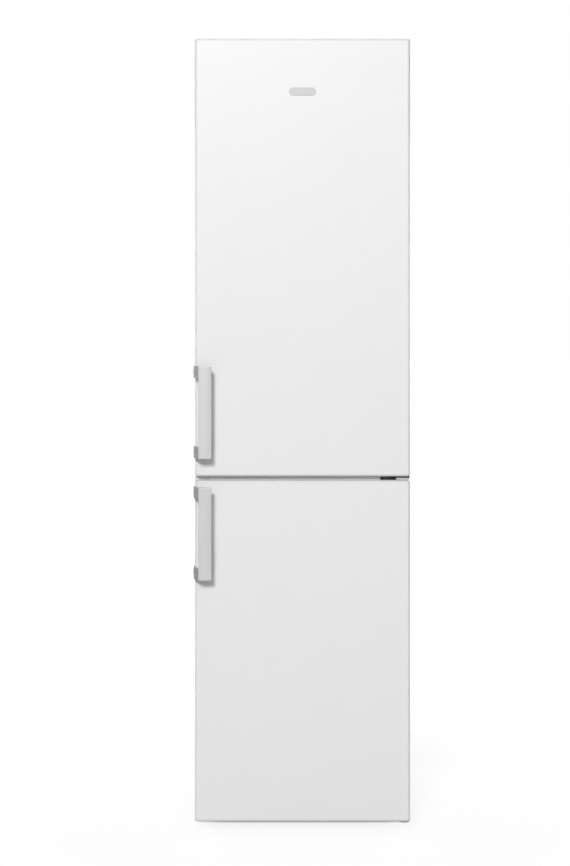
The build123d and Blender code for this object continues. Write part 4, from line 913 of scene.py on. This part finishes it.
# %% Sky
sky_sides = 0.04
sky_front = 0.36
sky_focus = 1.5
world = bpy.data.worlds.new("studio")
world.use_nodes = True
world.node_tree.nodes.clear()
bpy.context.scene.world = world
sky = Wire(world.node_tree)
ray = sky.node("TexCoord", out="Generated")
ahead = (0 - ray.node("SeparateXYZ", None, {0: ray}, out="Y")).steps(0.0, 1.0)
seen = sky.node("LightPath", out="Is Camera Ray")
glow = ahead ** sky_focus * sky_front + sky_sides
strength = seen + (1 - seen) * glow
light = sky.node("Background", None, {"Color": grey(1.0), "Strength": strength})
sky.node("OutputWorld", None, {"Surface": light})
print("sky strength", sky_sides, "at the sides,", sky_sides + sky_front, "in front")

# %% [markdown]
# ## Lights
# The grips throw a short shadow to the right and a longer one below. That gives the direction of the
# main lamp: up, left and in front. It stands ten metres away and high up, so the doors grow darker from
# top to bottom but hardly from side to side. Two weak lamps, above and at the right, soften its shadows.
# The other lamps light what the main one can't reach: the ceiling lamp the top, the rear and side lamps
# the back and the sides. A side lamp mirrored in the grips' brackets would draw a white streak, so both
# are kept out of reflections.


# %% Lights
def softbox(name, place, aim, size, power):
    lamp = bpy.data.lights.new(name, "AREA")
    lamp.size = size
    lamp.energy = power
    made = bpy.data.objects.new(name, lamp)
    made.location = place
    made.rotation_euler = (Vector(aim) - Vector(place)).to_track_quat("-Z", "Y").to_euler()
    bpy.context.scene.collection.objects.link(made)
    return made


key_way = Vector((-0.17, -1.0, 0.52))
key_reach = 10.0
handle_low, handle_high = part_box("fridge_handle_plate")
key_place = (handle_low + handle_high) / 2 + key_way * key_reach
doors = Vector((0.0, door_low.y, 1.1))
cabinet = Vector((0.0, 0.3, 1.0))
softbox("key_light", key_place, aim=doors, size=2.5, power=935.0)
softbox("top_light", (0.0, -3.6, 3.6), aim=doors, size=1.2, power=5.0)
softbox("fill_light", (3.0, -3.2, 1.6), aim=doors, size=1.5, power=8.0)
softbox("ceiling_light", (0.0, 0.3, 4.5), aim=(0.0, 0.3, 0.0), size=2.0, power=18.0)
for side in (-1, 1):
    softbox("rear_light", (side * 2.2, 4.0, 1.5), aim=cabinet, size=1.6, power=60.0)
    wash = softbox("side_light", (side * 3.2, 2.4, 1.4), aim=cabinet, size=1.8, power=50.0)
    wash.visible_glossy = False
print("key light at", [round(v, 2) for v in key_place])

# %% [markdown]
# ## Camera
# The picture is upright, 570 by 866 pixels, and the door's upright edges stay parallel, so the camera
# looks level and the frame is moved by lens shift. One pixel on the doors is 2.53 mm. The brackets show
# a little higher than the grips in front of them, which puts the lens at about chest height.

# %% Camera
picture_height = 866
metres_per_pixel = 0.00253
picture_centre = Vector((-0.0443, 1.012))
camera_height = 1.25
camera_distance = 4.3
view_height = picture_height * metres_per_pixel
camera_data = bpy.data.cameras.new("camera")
camera_data.sensor_width = 36.0
camera_data.lens = camera_data.sensor_width * camera_distance / view_height
camera_data.shift_x = picture_centre.x / view_height
camera_data.shift_y = (picture_centre.y - camera_height) / view_height
camera = bpy.data.objects.new("camera", camera_data)
camera.location = (0.0, door_low.y - camera_distance, camera_height)
camera.rotation_euler = (math.radians(90), 0.0, 0.0)
bpy.context.scene.collection.objects.link(camera)
bpy.context.scene.camera = camera
bpy.context.scene.view_settings.view_transform = "Standard"
print("lens", round(camera_data.lens, 2), "mm, shift", round(camera_data.shift_y, 4))
